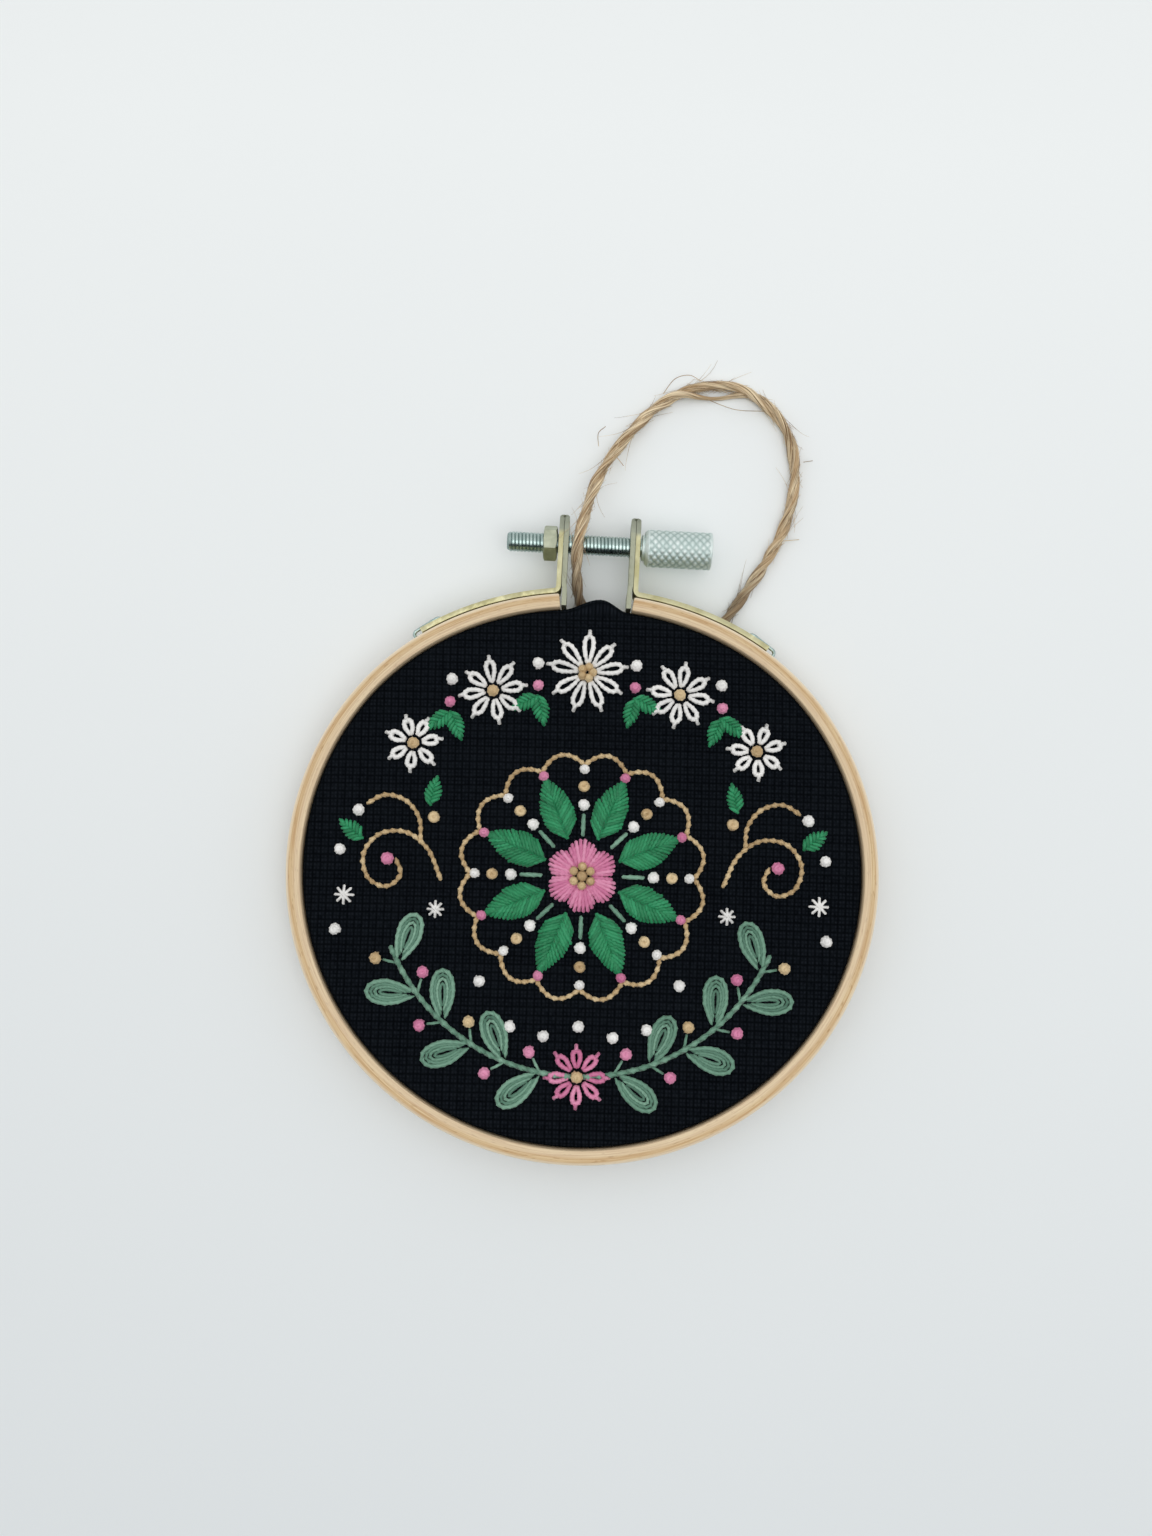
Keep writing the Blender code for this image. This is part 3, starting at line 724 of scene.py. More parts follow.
def clothMaterial():
    # black-navy cotton Aida: blocks of soft threads each way, with a small hole at each corner
    material, tree, shader = startMaterial("woven black cotton Aida", {
        "Roughness": 0.95, "Specular IOR Level": 0.012})
    blocks = addNode(tree, "ShaderNodeAttribute", {"attribute_name": "weave"}, {}, "Vector")
    parts = addNode(tree, "ShaderNodeSeparateXYZ", {}, {0: blocks}).outputs
    ridges, edges = [], []
    for part in (parts[0], parts[1]):
        # the real block has four threads of 0.4 mm each way, drawn as two so that they show
        turns = addNode(tree, "ShaderNodeMath", {"operation": "MULTIPLY"}, {0: part, 1: 2 * math.pi}, 0)
        wave = addNode(tree, "ShaderNodeMath", {"operation": "SINE"}, {0: turns}, 0)
        ridges.append(addNode(tree, "ShaderNodeMath", {"operation": "ABSOLUTE"}, {0: wave}, 0))
        whole = addNode(tree, "ShaderNodeMath", {"operation": "FRACT"}, {0: part}, 0)
        centred = addNode(tree, "ShaderNodeMath", {"operation": "SUBTRACT"}, {0: whole, 1: 0.5}, 0)
        edges.append(addNode(tree, "ShaderNodeMath", {"operation": "ABSOLUTE"}, {0: centred}, 0))
    threads = addNode(tree, "ShaderNodeMath", {"operation": "MULTIPLY"}, {0: ridges[0], 1: ridges[1]}, 0)
    edge = addNode(tree, "ShaderNodeMath", {"operation": "MAXIMUM"}, {0: edges[0], 1: edges[1]}, 0)
    gap = addNode(tree, "ShaderNodeMapRange", {}, {0: edge, 1: 0.28, 2: 0.49, 3: 0.0, 4: 0.6}, 0)
    halves = addNode(tree, "ShaderNodeVectorMath", {"operation": "SCALE"}, {0: blocks, "Scale": 2.0}, 0)
    number = addNode(tree, "ShaderNodeVectorMath", {"operation": "FLOOR"}, {0: halves}, 0)
    lots = [addNode(tree, "ShaderNodeTexWhiteNoise", {}, {"Vector": number}, "Value")]
    for keep in ((1.0, 0.0, 0.0), (0.0, 1.0, 0.0)):
        # whole rows and columns differ a little, as threads do
        line = addNode(tree, "ShaderNodeVectorMath", {"operation": "MULTIPLY"}, {0: number, 1: keep}, 0)
        lots.append(addNode(tree, "ShaderNodeTexWhiteNoise", {}, {"Vector": line}, "Value"))
    lot = addNode(tree, "ShaderNodeMath", {"operation": "ADD"}, {0: lots[1], 1: lots[2]}, 0)
    lot = addNode(tree, "ShaderNodeMath", {"operation": "ADD"}, {0: lots[0], 1: lot}, 0)
    share = addNode(tree, "ShaderNodeMapRange", {}, {0: lot, 1: 0.5, 2: 2.5}, 0)
    tone = addNode(tree, "ShaderNodeMix", colorMix,
                   {0: share, 6: hexColor(weave["deep"]), 7: hexColor(weave["soft"])}, 2)
    # painted highlight: the thread tops are lightened to the lit colour, in patches
    highlightPatches = addNode(tree, "ShaderNodeTexNoise", {}, {"Vector": blocks, "Scale": 2.3, "Detail": 2.0}, "Fac")
    highlightPatches = addNode(tree, "ShaderNodeMapRange", {}, {0: highlightPatches, 1: 0.35, 2: 0.65, 3: 0.35, 4: 1.0}, 0)
    share = addNode(tree, "ShaderNodeMapRange", {}, {0: threads, 1: 0.1, 2: 0.95, 3: 0.2, 4: 0.9}, 0)
    share = addNode(tree, "ShaderNodeMath", {"operation": "MULTIPLY"}, {0: share, 1: highlightPatches}, 0)
    tone = addNode(tree, "ShaderNodeMix", colorMix, {0: share, 6: tone, 7: hexColor(weave["lit"])}, 2)
    # painted shade: the block edges and the holes at the corners are darkened
    tone = addNode(tree, "ShaderNodeMix", colorMix, {0: gap, 6: tone, 7: hexColor(weave["hole"])}, 2)
    tree.links.new(tone, shader.inputs["Base Color"])
    fuzz = addNode(tree, "ShaderNodeTexNoise", {}, {"Vector": blocks, "Scale": 9.0, "Detail": 3.0}, "Fac")
    height = addNode(tree, "ShaderNodeMath", {"operation": "MULTIPLY_ADD"},
                     {0: fuzz, 1: 0.6, 2: threads}, 0)
    bump = addNode(tree, "ShaderNodeBump", {},
                   {"Strength": 0.8, "Distance": 0.14 * mm, "Height": height}, 0)
    tree.links.new(bump, shader.inputs["Normal"])
    return material


def bumpShare(x):
    reach = (x - weave["bumpTop"]) / (weave["bumpLeft"] if x < weave["bumpTop"] else weave["bumpRight"])
    return math.cos(math.pi / 2 * reach) ** 2 if abs(reach) < 1 else 0.0


def clothEdge(angle, out, z):
    # a point of the turned edge or skirt, pushed out where the cloth is free in the split
    point = hoopPoint(angle, out, z)
    drop = min(max((9.9 - z) / (9.9 - weave["hem"]), 0), 1)
    if math.cos(angle) > 0 and out > weave["flatEnd"] - 0.01:
        point.y += weave["bumpRise"] * (1 - 0.55 * drop) * bumpShare(point.x)
    return point


def weaveFace(points, flat, faces):
    # the face, in four cells to a block, lower along a block's edge and lowest at its corners
    draw = random.Random(weave["seed"])
    fracs = (0.0, weave["gap"], 0.5, 1 - weave["gap"])
    cells = len(fracs)
    numbers = {}

    def vertex(a, b):
        if (a, b) in numbers:
            return numbers[(a, b)]
        numbers[(a, b)] = None
        i = a // cells + fracs[a % cells]
        j = b // cells + fracs[b % cells]
        x, y = weaveToFlat(i, j)
        if math.hypot(x, y) >= openingRadius(math.atan2(x, y)) + weave["flatEnd"] - 0.25:
            return None
        onEdge = (a % cells == 0) + (b % cells == 0)
        z = hoop["clothTop"] + draw.uniform(-0.03, 0.03)
        z -= (0.0, weave["gapDepth"], weave["holeDepth"])[onEdge]
        if a % cells == 2 and b % cells == 2:
            z += 0.05
        numbers[(a, b)] = len(points)
        points.append(Vector((x, y + hoop["middleY"], z)))
        flat.append((i, j))
        return numbers[(a, b)]

    span = range(-weave["reach"] * cells, weave["reach"] * cells)
    for a in span:
        for b in span:
            quad = [vertex(a, b), vertex(a + 1, b), vertex(a + 1, b + 1), vertex(a, b + 1)]
            if None not in quad:
                faces.append(quad)


def skirtRows():
    # (out, z) over the turned edge, down the skirt, round its hem and up again inside
    top, thick, radius, hem = hoop["clothTop"], weave["thick"], weave["turnRadius"], weave["hem"]
    rows = [(weave["flatEnd"], top)]
    for k in range(1, 7):
        t = math.pi / 2 * k / 6
        rows.append((weave["flatEnd"] + radius * math.sin(t), top - radius * (1 - math.cos(t))))
    edge = weave["flatEnd"] + radius
    rows += [(edge, z) for z in (8.0, 6.5, 5.0, 3.6)]
    rows += [(edge - 0.12, hem + 0.06), (edge - 0.45, hem), (edge - thick + 0.1, hem + 0.08)]
    rows += [(edge - thick, z) for z in (3.6, 5.0, 6.5, 8.0, 9.2)]
    return rows + [(edge - thick - 0.12, top - thick - 0.1), (edge - thick - 0.3, top - thick)]


def weaveSkirt(points, flat, faces):
    # the turned edge and the skirt as closed rows of points; hands back the last row
    rows = skirtRows()
    beyond, ring = 0.0, None
    for row, (out, z) in enumerate(rows):
        if row:
            beyond += math.hypot(out - rows[row - 1][0], z - rows[row - 1][1])
        above, ring = ring, range(len(points), len(points) + weave["edgeSteps"])
        for k in range(weave["edgeSteps"]):
            angle = 2 * math.pi * k / weave["edgeSteps"]
            points.append(clothEdge(angle, out, z))
            away = openingRadius(angle) + weave["flatEnd"] + beyond
            flat.append(flatToWeave(away * math.sin(angle), away * math.cos(angle)))
        if above:
            faces += joinRings(above, ring)
    return ring


def weaveBack(ring, points, flat, faces):
    # the back, in coarse rings closed at the middle
    z = hoop["clothTop"] - weave["thick"]
    count = len(ring)
    for share in (0.94, 0.8, 0.6, 0.35):
        above, ring = ring, range(len(points), len(points) + count)
        for k in range(count):
            angle = 2 * math.pi * k / count
            away = openingRadius(angle) * share
            x, y = away * math.sin(angle), away * math.cos(angle)
            points.append(Vector((x, y + hoop["middleY"], z)))
            flat.append(flatToWeave(x, y))
        faces += joinRings(above, ring)
    points.append(Vector((0, hoop["middleY"], z)))
    flat.append((0, 0))
    for k in range(count):
        faces.append((ring[k], ring[(k + 1) % count], len(points) - 1))


def makeCloth():
    points, flat, faces = [], [], []
    weaveFace(points, flat, faces)
    lastRow = weaveSkirt(points, flat, faces)
    weaveBack(lastRow, points, flat, faces)
    mesh = meshFromPoints("cloth", points, faces)
    where = mesh.attributes.new("weave", "FLOAT_VECTOR", "POINT")
    where.data.foreach_set("vector", [c for i, j in flat for c in (i, j, 0.0)])
    bm = bmesh.new()
    bm.from_mesh(mesh)
    # the strip between the last whole blocks and the turned edge
    loose = [e for e in bm.edges if len(e.link_faces) == 1]
    bmesh.ops.triangle_fill(bm, use_beauty=True, use_dissolve=False, edges=loose)
    bmesh.ops.recalc_face_normals(bm, faces=bm.faces)
    left = sum(1 for e in bm.edges if len(e.link_faces) != 2)
    print("cloth: open edges left", left, "faces", len(bm.faces))
    bm.to_mesh(mesh)
    bm.free()
    return addPiece("clothFace", mesh, clothMaterial(), 80)


cloth = makeCloth()

print("stage: stitches")

floss = {
    "line": 0.60,  # radius of six strands laid together, in millimetres
    "sides": 9,
    "backZ": 9.15,
    "seed": 23,
}
threadNames = ("white", "sage", "deepSage", "emerald", "gold", "pink")
threadLines = {name: [] for name in threadNames}
sewing = random.Random(floss["seed"])


def turned(x, y):
    # from the design's own axes, which follow the weave, to the row frame
    turn = math.radians(hoop["weaveTurn"])
    return (x * math.cos(turn) - y * math.sin(turn),
            x * math.sin(turn) + y * math.cos(turn) + hoop["middleY"])


def readAlong(line, shares):
    lengths = [0.0]
    for (a, b), (c, d) in zip(line, line[1:]):
        lengths.append(lengths[-1] + math.hypot(c - a, d - b))
    found = []
    k = 0
    for share in shares:
        target = share * lengths[-1]
        while k < len(line) - 2 and lengths[k + 1] < target:
            k += 1
        t = (target - lengths[k]) / max(lengths[k + 1] - lengths[k], 1e-9)
        found.append((line[k][0] + (line[k + 1][0] - line[k][0]) * t,
                      line[k][1] + (line[k + 1][1] - line[k][1]) * t))
    return found, lengths[-1]


def sew(thread, line, rise=0.42, thick=1.0, middle=4, sink=0.62, back=True):
    # one stitch: up out of the cloth, along the line and down again
    shares = [0.0, 0.07] + [0.07 + 0.86 * k / middle for k in range(1, middle)] + [0.93, 1.0]
    flat, length = readAlong(line, shares)
    power = min(max(1.0 / max(length, 0.5), 0.12), 0.6)
    stitch = []
    for (x, y), share in zip(flat, shares):
        lift = math.sin(math.pi * share) ** power if 0 < share < 1 else 0.0
        ends = 0.78 + 0.22 * min(1, 4 * min(share, 1 - share))
        px, py = turned(x, y)
        stitch.append((px, py, hoop["clothTop"] - sink + (rise + sink) * lift, thick * ends))
    threadLines[thread].append(stitch)
    if back:
        (x0, y0), (x1, y1) = flat[0], flat[-1]
        ax, ay = turned(x0, y0)
        bx, by = turned(x1 + (x1 - x0) * 0.4, y1 + (y1 - y0) * 0.4)
        z = floss["backZ"]
        behind = [(ax, ay, z + 0.35, 0.8)]
        behind += [(ax + (bx - ax) * share, ay + (by - ay) * share, z, 0.9) for share in (0.3, 0.7)]
        threadLines[thread].append(behind + [(bx, by, z + 0.35, 0.8)])


def curveThrough(points, step=0.5):
    return [(p.x, p.y) for p in evenSteps([Vector((x, y, 0)) for x, y in points], step)]


def backStitch(thread, points, length=1.7, thick=1.0, rise=0.38):
    line = curveThrough(points)
    total = sum(math.hypot(b[0] - a[0], b[1] - a[1]) for a, b in zip(line, line[1:]))
    count = max(1, round(total / length))
    for k in range(count):
        part, _ = readAlong(line, [(k + s) / count for s in (0.03, 0.5, 0.97)])
        sew(thread, part, rise, thick * sewing.uniform(0.94, 1.05), 2)


def knot(thread, x, y, size=1.4, dimple=False):
    # a French knot: two turns of thread drawn up round each other
    px, py = turned(x, y)
    start = sewing.uniform(0, 2 * math.pi)
    top = hoop["clothTop"]
    line = []
    turns = 1.9 if dimple else 2.3
    count = 20
    for k in range(count + 1):
        t = k / count
        angle = start + 2 * math.pi * turns * t
        if dimple:
            radius = (size - 0.55) * (1 - 0.12 * t)
            z = top + 0.15 + 0.75 * t
        else:
            radius = (size - 0.55) * (1 - 0.72 * t ** 1.5)
            z = top + 0.15 + 1.0 * t ** 0.8
        line.append((px + radius * math.cos(angle), py + radius * math.sin(angle), z, 1.0))
    line.append((px, py, line[-1][2] - 0.35, 0.8))
    threadLines[thread].append(line)


def placeAt(x, y, turn):
    # a function that puts a motif's own points at (x, y), turned by degrees clockwise from up
    c, s = math.cos(math.radians(turn)), math.sin(math.radians(turn))
    return lambda u, v: (x + u * c + v * s, y - u * s + v * c)


def daisy(x, y, radius, petals, turn=0.0, thread="white", heart="gold"):
    # detached chain stitches round a knot
    for k in range(petals):
        put = placeAt(x, y, turn + 360 * k / petals + sewing.uniform(-3, 3))
        long = radius * sewing.uniform(0.95, 1.04)
        wide = math.pi * radius / petals * 0.46
        loop = []
        for step in range(17):
            t = step / 16
            angle = math.pi * (2 * t - 1)
            v = 1.7 + (long - 1.7) * (0.5 + 0.5 * math.cos(angle)) ** 0.8
            u = wide * math.sin(angle) * (0.35 + 0.65 * (0.5 + 0.5 * math.cos(angle)) ** 0.7)
            loop.append(put(u, v))
        sew(thread, loop, 0.45, 0.92, 12)
        sew(thread, [put(0, long - 0.5), put(0, long + 1.1)], 0.95, 0.85, 2)
    for k in range(5 if radius > 7 else 1):
        angle = 2 * math.pi * k / 5
        off = 1.25 if radius > 7 else 0
        knot(heart, x + off * math.cos(angle), y + off * math.sin(angle), 1.0 if radius > 7 else 1.4)


def leafWidth(t, wide):
    return wide * math.sin(math.pi * min(max(t, 0.0), 1.0) ** 0.85) ** 0.8


def fishboneLeaf(thread, x, y, turn, long, wide, thick=0.86):
    # slanted threads from the edge to just past the middle, side after side
    put = placeAt(x, y, turn)
    count = max(4, round(long / 1.02))
    slant = 0.24
    sew(thread, [put(0, long * 0.72), put(0, long * 1.02)], 0.4, thick, 3)
    for k in range(count):
        for side in (-1, 1):
            t = (k + (0.5 if side > 0 else 0)) / count
            edge = min(t * 0.80 + slant, 0.985)
            u = side * leafWidth(edge, wide / 2) * sewing.uniform(0.94, 1.07)
            sew(thread, [put(u, long * edge), put(u * 0.5, long * (edge * 0.55 + t * 0.8 * 0.45)),
                         put(-side * 0.22, long * t * 0.80)],
                0.42 + 0.1 * (k % 2), thick * sewing.uniform(0.92, 1.06), 4)


def loopedLeaf(thread, x, y, turn, long, wide, thick=0.95):
    # threads laid along the outline, one inside the other, with the slit left open between them
    put = placeAt(x, y, turn)
    half = wide / 2 - 0.45
    # from the outline inwards: width share, where it starts and ends, thickness
    for share, start, end, size in ((1.0, 0.0, 1.0, 0.86), (0.72, 0.08, 0.92, 0.74),
                                    (0.46, 0.16, 0.84, 0.70), (0.20, 0.26, 0.74, 0.62)):
        loop = []
        count = 22
        for step in range(count + 1):
            t = abs(1 - 2 * step / count)  # 1 at the leaf's foot, 0 at its tip
            side = -1 if step < count / 2 else 1
            v = start + (end - start) * (1 - t ** 1.6)
            reach = min(max((v - start) / (end - start), 0), 1)
            if reach < 0.62:
                width = math.sin(math.pi / 2 * reach / 0.62) ** 1.15
            else:
                width = math.sqrt(max(1 - ((reach - 0.62) / 0.38) ** 2, 0))
            wobble = 1 + sewing.uniform(-0.05, 0.05)
            loop.append(put(side * (half * share * width * wobble + 0.12), long * v))
        sew(thread if share in (1.0, 0.46) else "deepSage", loop, 0.42 if share == 1.0 else 0.3,
            size * thick / 0.95, 16)


def starStitch(thread, x, y, size):
    for k in range(4):
        angle = math.pi * k / 4
        u, v = size * math.cos(angle), size * math.sin(angle)
        sew(thread, [(x - u, y - v), (x + u, y + v)], 0.4 + 0.12 * k, 0.62, 3, back=False)


def wheelFlower(x, y, radius):
    # satin petals, fanned out from the middle, with a heart of knots
    petals = 6
    each = 8
    for k in range(petals * each):
        share = (k % each + 0.5) / each
        angle = 2 * math.pi * (k + 0.5) / (petals * each)
        out = radius * (0.76 + 0.24 * math.sin(math.pi * share) ** 0.7) * sewing.uniform(0.97, 1.02)
        if k % each in (0, each - 1):
            angle += 0.025 if k % each == 0 else -0.025
        c, s = math.cos(angle), math.sin(angle)
        sew("pink", [(x + 2.0 * c, y + 2.0 * s), (x + out * c, y + out * s)],
            0.42 + 0.1 * (k % 2), 0.86, 4)
    knot("gold", x, y, 1.25)
    for k in range(6):
        angle = 2 * math.pi * (k + 0.5) / 6
        knot("gold", x + 2.1 * math.cos(angle), y + 2.1 * math.sin(angle), 1.05)


def onCircle(middle, radius, degrees):
    # degrees run clockwise from up
    angle = math.radians(degrees)
    return middle[0] + radius * math.sin(angle), middle[1] + radius * math.cos(angle)


def sewDaisies():
    daisy(0, 43, 8.0, 9)
    for side in (-1, 1):
        daisy(side * 20.5, 38.5, 6.4, 8, 10 * side)
        daisy(side * 37.5, 26.5, 5.4, 7, 20 * side)
        for x, y, turn in ((10.6, 37.6, -62), (29.6, 33.6, -40)):
            for off in (-38, 38):
                fishboneLeaf("emerald", side * x, y, side * (180 + turn * 0.4) + off, 6.6, 3.4, 0.72)
        for thread, x, y, size in (("white", 10.8, 44.8, 1.4), ("white", 29.6, 40.8, 1.4),
                                   ("pink", 10.6, 39.9, 1.3), ("pink", 29.8, 35.8, 1.3)):
            knot(thread, side * x, y, size)


def sewWheel(middle):
    # leaves and knots round a flower, in a scalloped ring
    for k in range(8):
        turn = 45 * k + 22.5
        fishboneLeaf("emerald", *onCircle(middle, 8.6, turn), turn, 14.0, 7.2)
        put = placeAt(*middle, 45 * k)
        sew("sage", [put(0, 8.6), put(0, 13.5)], 0.4, 0.9, 3)
        knot("white", *put(0, 15.4), 1.35)
        knot("gold", *put(0, 19.4), 1.25, True)
    wheelFlower(*middle, 8.0)
    scallops = 16
    each = 360 / scallops
    for k in range(scallops):
        backStitch("gold", [
            onCircle(middle, 24.2 + 2.5 * math.sin(math.pi * step / 8), each * (k + step / 8))
            for step in range(9)])
        knot("pink" if k % 2 else "white", *onCircle(middle, 23.2, each * k), 1.15)


def sewScrolls():
    scroll = [(30.5, -3), (33.5, 3.4), (38.4, 7.0), (44.2, 6.4), (47.4, 2.0), (46.2, -3.0),
              (42.2, -4.8), (39.2, -2.2), (40.4, 1.2)]
    branch = [(35.2, 5.2), (35.6, 10.0), (38.6, 13.8), (43.2, 15.0), (47.0, 13.0)]
    for side in (-1, 1):
        for line in (scroll, branch):
            backStitch("gold", [(side * x, y) for x, y in line])
        knot("pink", side * 42.2, 1.2, 1.5)
        knot("white", side * 48.8, 11.6, 1.4)
        knot("gold", side * 32.4, 10.4, 1.3, True)
        fishboneLeaf("emerald", side * 47.8, 5.4, side * 52, 6.4, 3.6, 0.72)
        fishboneLeaf("emerald", side * 33.4, 13.0, -side * 12, 6.4, 3.4, 0.72)
        starStitch("white", side * 51.2, -6.8, 2.2)
        starStitch("white", side * 31.4, -9.4, 1.9)
        knot("white", side * 52.5, 3.0, 1.3)


def sewGarland():
    # a vine that reaches as many degrees to each side of the foot, with leaves and buds in turn
    middle, radius, reach, leaves = (0, 0.6), 44.6, 66, 13
    vine = [onCircle(middle, radius, 180 + reach * (k / 24 - 1)) for k in range(49)]
    backStitch("sage", vine, 2.4, 1.1)
    for k in range(leaves):
        if k == leaves // 2:
            continue
        turn = 180 + reach * (2 * (k + 0.5) / leaves - 1)
        side = 1 if turn > 180 else -1
        lean = side if k % 2 else -side
        foot = onCircle(middle, radius, turn)
        loopedLeaf("sage", *foot, turn + 90 * side - 48 * lean, 11.0, 5.4)
        put = placeAt(*foot, turn + 90 * side + 50 * lean)
        sew("sage", [put(0, 0.3), put(0, 3.4)], 0.36, 0.6, 2)
        knot("pink" if k % 3 else "gold", *put(0, 4.9), 1.4)
    daisy(0, -44.0, 5.8, 8, 0, "pink", "gold")
    for x, y in ((-14.6, -33.8), (14.6, -33.8), (-21.4, -24.4), (21.4, -24.4), (0, -33.5),
                 (-52.8, -14.2), (52.8, -14.2), (-7.4, -35.6), (7.4, -35.6)):
        knot("white", x, y, 1.35)


flossColors = {
    "white": ("eeedea", "fbfaf7", "d6d6d4"),
    "sage": ("6a9780", "93bba4", "4c7762"),
    "deepSage": ("527d68", "709a84", "3b604f"),
    "emerald": ("1a8650", "38a672", "0c5a38"),
    "gold": ("c8a775", "eedab0", "957850"),
    "pink": ("d87ca4", "eba4c2", "b85a86"),
}


def flossMaterial(name):
    # mercerised stranded cotton: soft lustre, with fine strands side by side
    base, light, deep = flossColors[name]
    material, tree, shader = startMaterial("mercerised cotton floss " + name, {
        "Roughness": 0.5, "Specular IOR Level": 0.35, "Sheen Weight": 0.15, "Sheen Roughness": 0.4})
    fine, tone = strandFibres(tree, 0.2, 2.6, 2.0)
    share = addNode(tree, "ShaderNodeMapRange", {}, {0: fine, 1: 0.3, 2: 0.7}, 0)
    color = addNode(tree, "ShaderNodeMix", colorMix,
                    {0: share, 6: hexColor(deep), 7: hexColor(light)}, 2)
    color = addNode(tree, "ShaderNodeMix", colorMix, {0: 0.5, 6: color, 7: hexColor(base)}, 2)
    # one stitch is a little lighter or deeper than the next
    for begin, end, strength, other in ((0.5, 1.0, 0.45, light), (0.45, 0.0, 0.4, deep)):
        share = addNode(tree, "ShaderNodeMapRange", {},
                        {0: tone, 1: begin, 2: end, 3: 0.0, 4: strength}, 0)
        color = addNode(tree, "ShaderNodeMix", colorMix, {0: share, 6: color, 7: hexColor(other)}, 2)
    tree.links.new(color, shader.inputs["Base Color"])
    bump = addNode(tree, "ShaderNodeBump", {},
                   {"Strength": 0.7, "Distance": 0.1 * mm, "Height": fine}, 0)
    tree.links.new(bump, shader.inputs["Normal"])
    return material


def makeStitches():
    # an ordinary folk design, from the top down
    sewDaisies()
    sewWheel((0, -1.5))
    sewScrolls()
    sewGarland()
    pieces = []
    for count, name in enumerate(threadNames):
        made = strandsAlong(name + "Stitches", threadLines[name], {
            "Radius": floss["line"] * mm, "Sides": floss["sides"], "Lobes": 3.0, "Lobe depth": 0.09,
            "Twist": 1300.0, "Seed": 40 + count, "Material": flossMaterial(name)})
        onHoop(made, None)
        print(name, "stitches:", len(threadLines[name]), "faces", len(made.data.polygons))
        pieces.append(made)
    return pieces


stitches = makeStitches()
onHoop(cloth, "cloth", "cloth")

print("stage: straps, staples, nut and thumb screw")

metal = {
    # the straps with their lugs
    "lugInner": 6.9,
    "lugOuter": 9.2,
    "lugTip": 79.1,
    "lugCorner": 2.6,
    "plyGap": 0.1,
    "strapWidth": 6.6,
    "strapThick": 1.05,
    "strapBend": 1.1,
    "strapEnd": 37.2,  # degrees from the split
    "footEnd": 57.85,
    "footLean": 0.24,
    "easedEdge": 0.3,
    "rodHole": 2.45,
    "legHole": 0.62,
    # the staples
    "stapleFrom": 32.6,  # degrees from the split
    "stapleTo": 38.8,
    "stapleInto": 2.2,  # the legs' depth in the wood
    "stapleBend": 0.9,
    "wire": 0.4,
    # the nut
    "nutFlats": 7.0,
    "nutThick": 3.0,
    "nutBore": 2.28,
    "nutMouth": 2.65,
    # the thumb screw
    "rodLeft": -20.7,
    "rodRadius": 2.2,
    "rodRoot": 1.98,
    "rodTip": 1.75,
    "pitch": 0.8,
    "collarRadius": 2.9,
    "knobLeft": 10.2,
    "knobRight": 25.2,
    "knobRadius": 4.2,
    "knobBevel": 0.7,
    "knurlAround": 13,
    "knurlCell": 1.65,
    "knurlDepth": 0.24,
}


def platedMaterial(name, pale, deep, rough, clouds, paintedShadeTone=None, grooveShade=None):
    # zinc plate over steel: soft satin reflections, slightly clouded, with painted shade where asked
    material, tree, shader = startMaterial(name, {"Metallic": 1.0})
    place = addNode(tree, "ShaderNodeTexCoord", {}, {}, "Object")
    cloud = addNode(tree, "ShaderNodeTexNoise", {}, {"Vector": place, "Scale": clouds, "Detail": 4.0}, "Fac")
    share = addNode(tree, "ShaderNodeMapRange", {}, {0: cloud, 1: 0.3, 2: 0.7}, 0)
    tone = addNode(tree, "ShaderNodeMix", colorMix, {0: share, 6: hexColor(deep), 7: hexColor(pale)}, 2)
    if paintedShadeTone:
        # painted shade: the lug's tip and its inner ply are turned grey-green as if in shade
        parts = addNode(tree, "ShaderNodeSeparateXYZ", {}, {0: place}).outputs
        tip = addNode(tree, "ShaderNodeMapRange", {}, {0: parts[1], 1: 65.7 * mm, 2: 66.8 * mm}, 0)
        across = addNode(tree, "ShaderNodeMath", {"operation": "ABSOLUTE"}, {0: parts[0]}, 0)
        inner = addNode(tree, "ShaderNodeMapRange", {},
                        {0: across, 1: 7.9 * mm, 2: 8.1 * mm, 3: 0.85, 4: 0.0}, 0)
        wearAndPaintedLightShare = addNode(tree, "ShaderNodeMath", {"operation": "MAXIMUM"}, {0: tip, 1: inner}, 0)
        tone = addNode(tree, "ShaderNodeMix", colorMix, {0: wearAndPaintedLightShare, 6: tone, 7: hexColor(paintedShadeTone)}, 2)
    if grooveShade:
        # painted shade: thread roots and knurl grooves, marked on the mesh, are darkened
        groove = addNode(tree, "ShaderNodeAttribute", {"attribute_name": "groove"}, {}, "Fac")
        tone = addNode(tree, "ShaderNodeMix", colorMix, {0: groove, 6: tone, 7: hexColor(grooveShade)}, 2)
    tree.links.new(tone, shader.inputs["Base Color"])
    fine = addNode(tree, "ShaderNodeTexNoise", {}, {"Vector": place, "Scale": 2200.0, "Detail": 3.0}, "Fac")
    finish = addNode(tree, "ShaderNodeMapRange", {},
                     {0: fine, 1: 0.3, 2: 0.7, 3: rough - 0.07, 4: rough + 0.1}, 0)
    tree.links.new(finish, shader.inputs["Roughness"])
    bump = addNode(tree, "ShaderNodeBump", {},
                   {"Strength": 0.2, "Distance": 0.03 * mm, "Height": fine}, 0)
    tree.links.new(bump, shader.inputs["Normal"])
    return material


def arcPoints(middleX, middleY, radius, begin, end, steps):
    points = []
    for step in range(steps + 1):
        turn = math.radians(begin + (end - begin) * step / steps)
        points.append((middleX + radius * math.cos(turn), middleY + radius * math.sin(turn)))
    return points


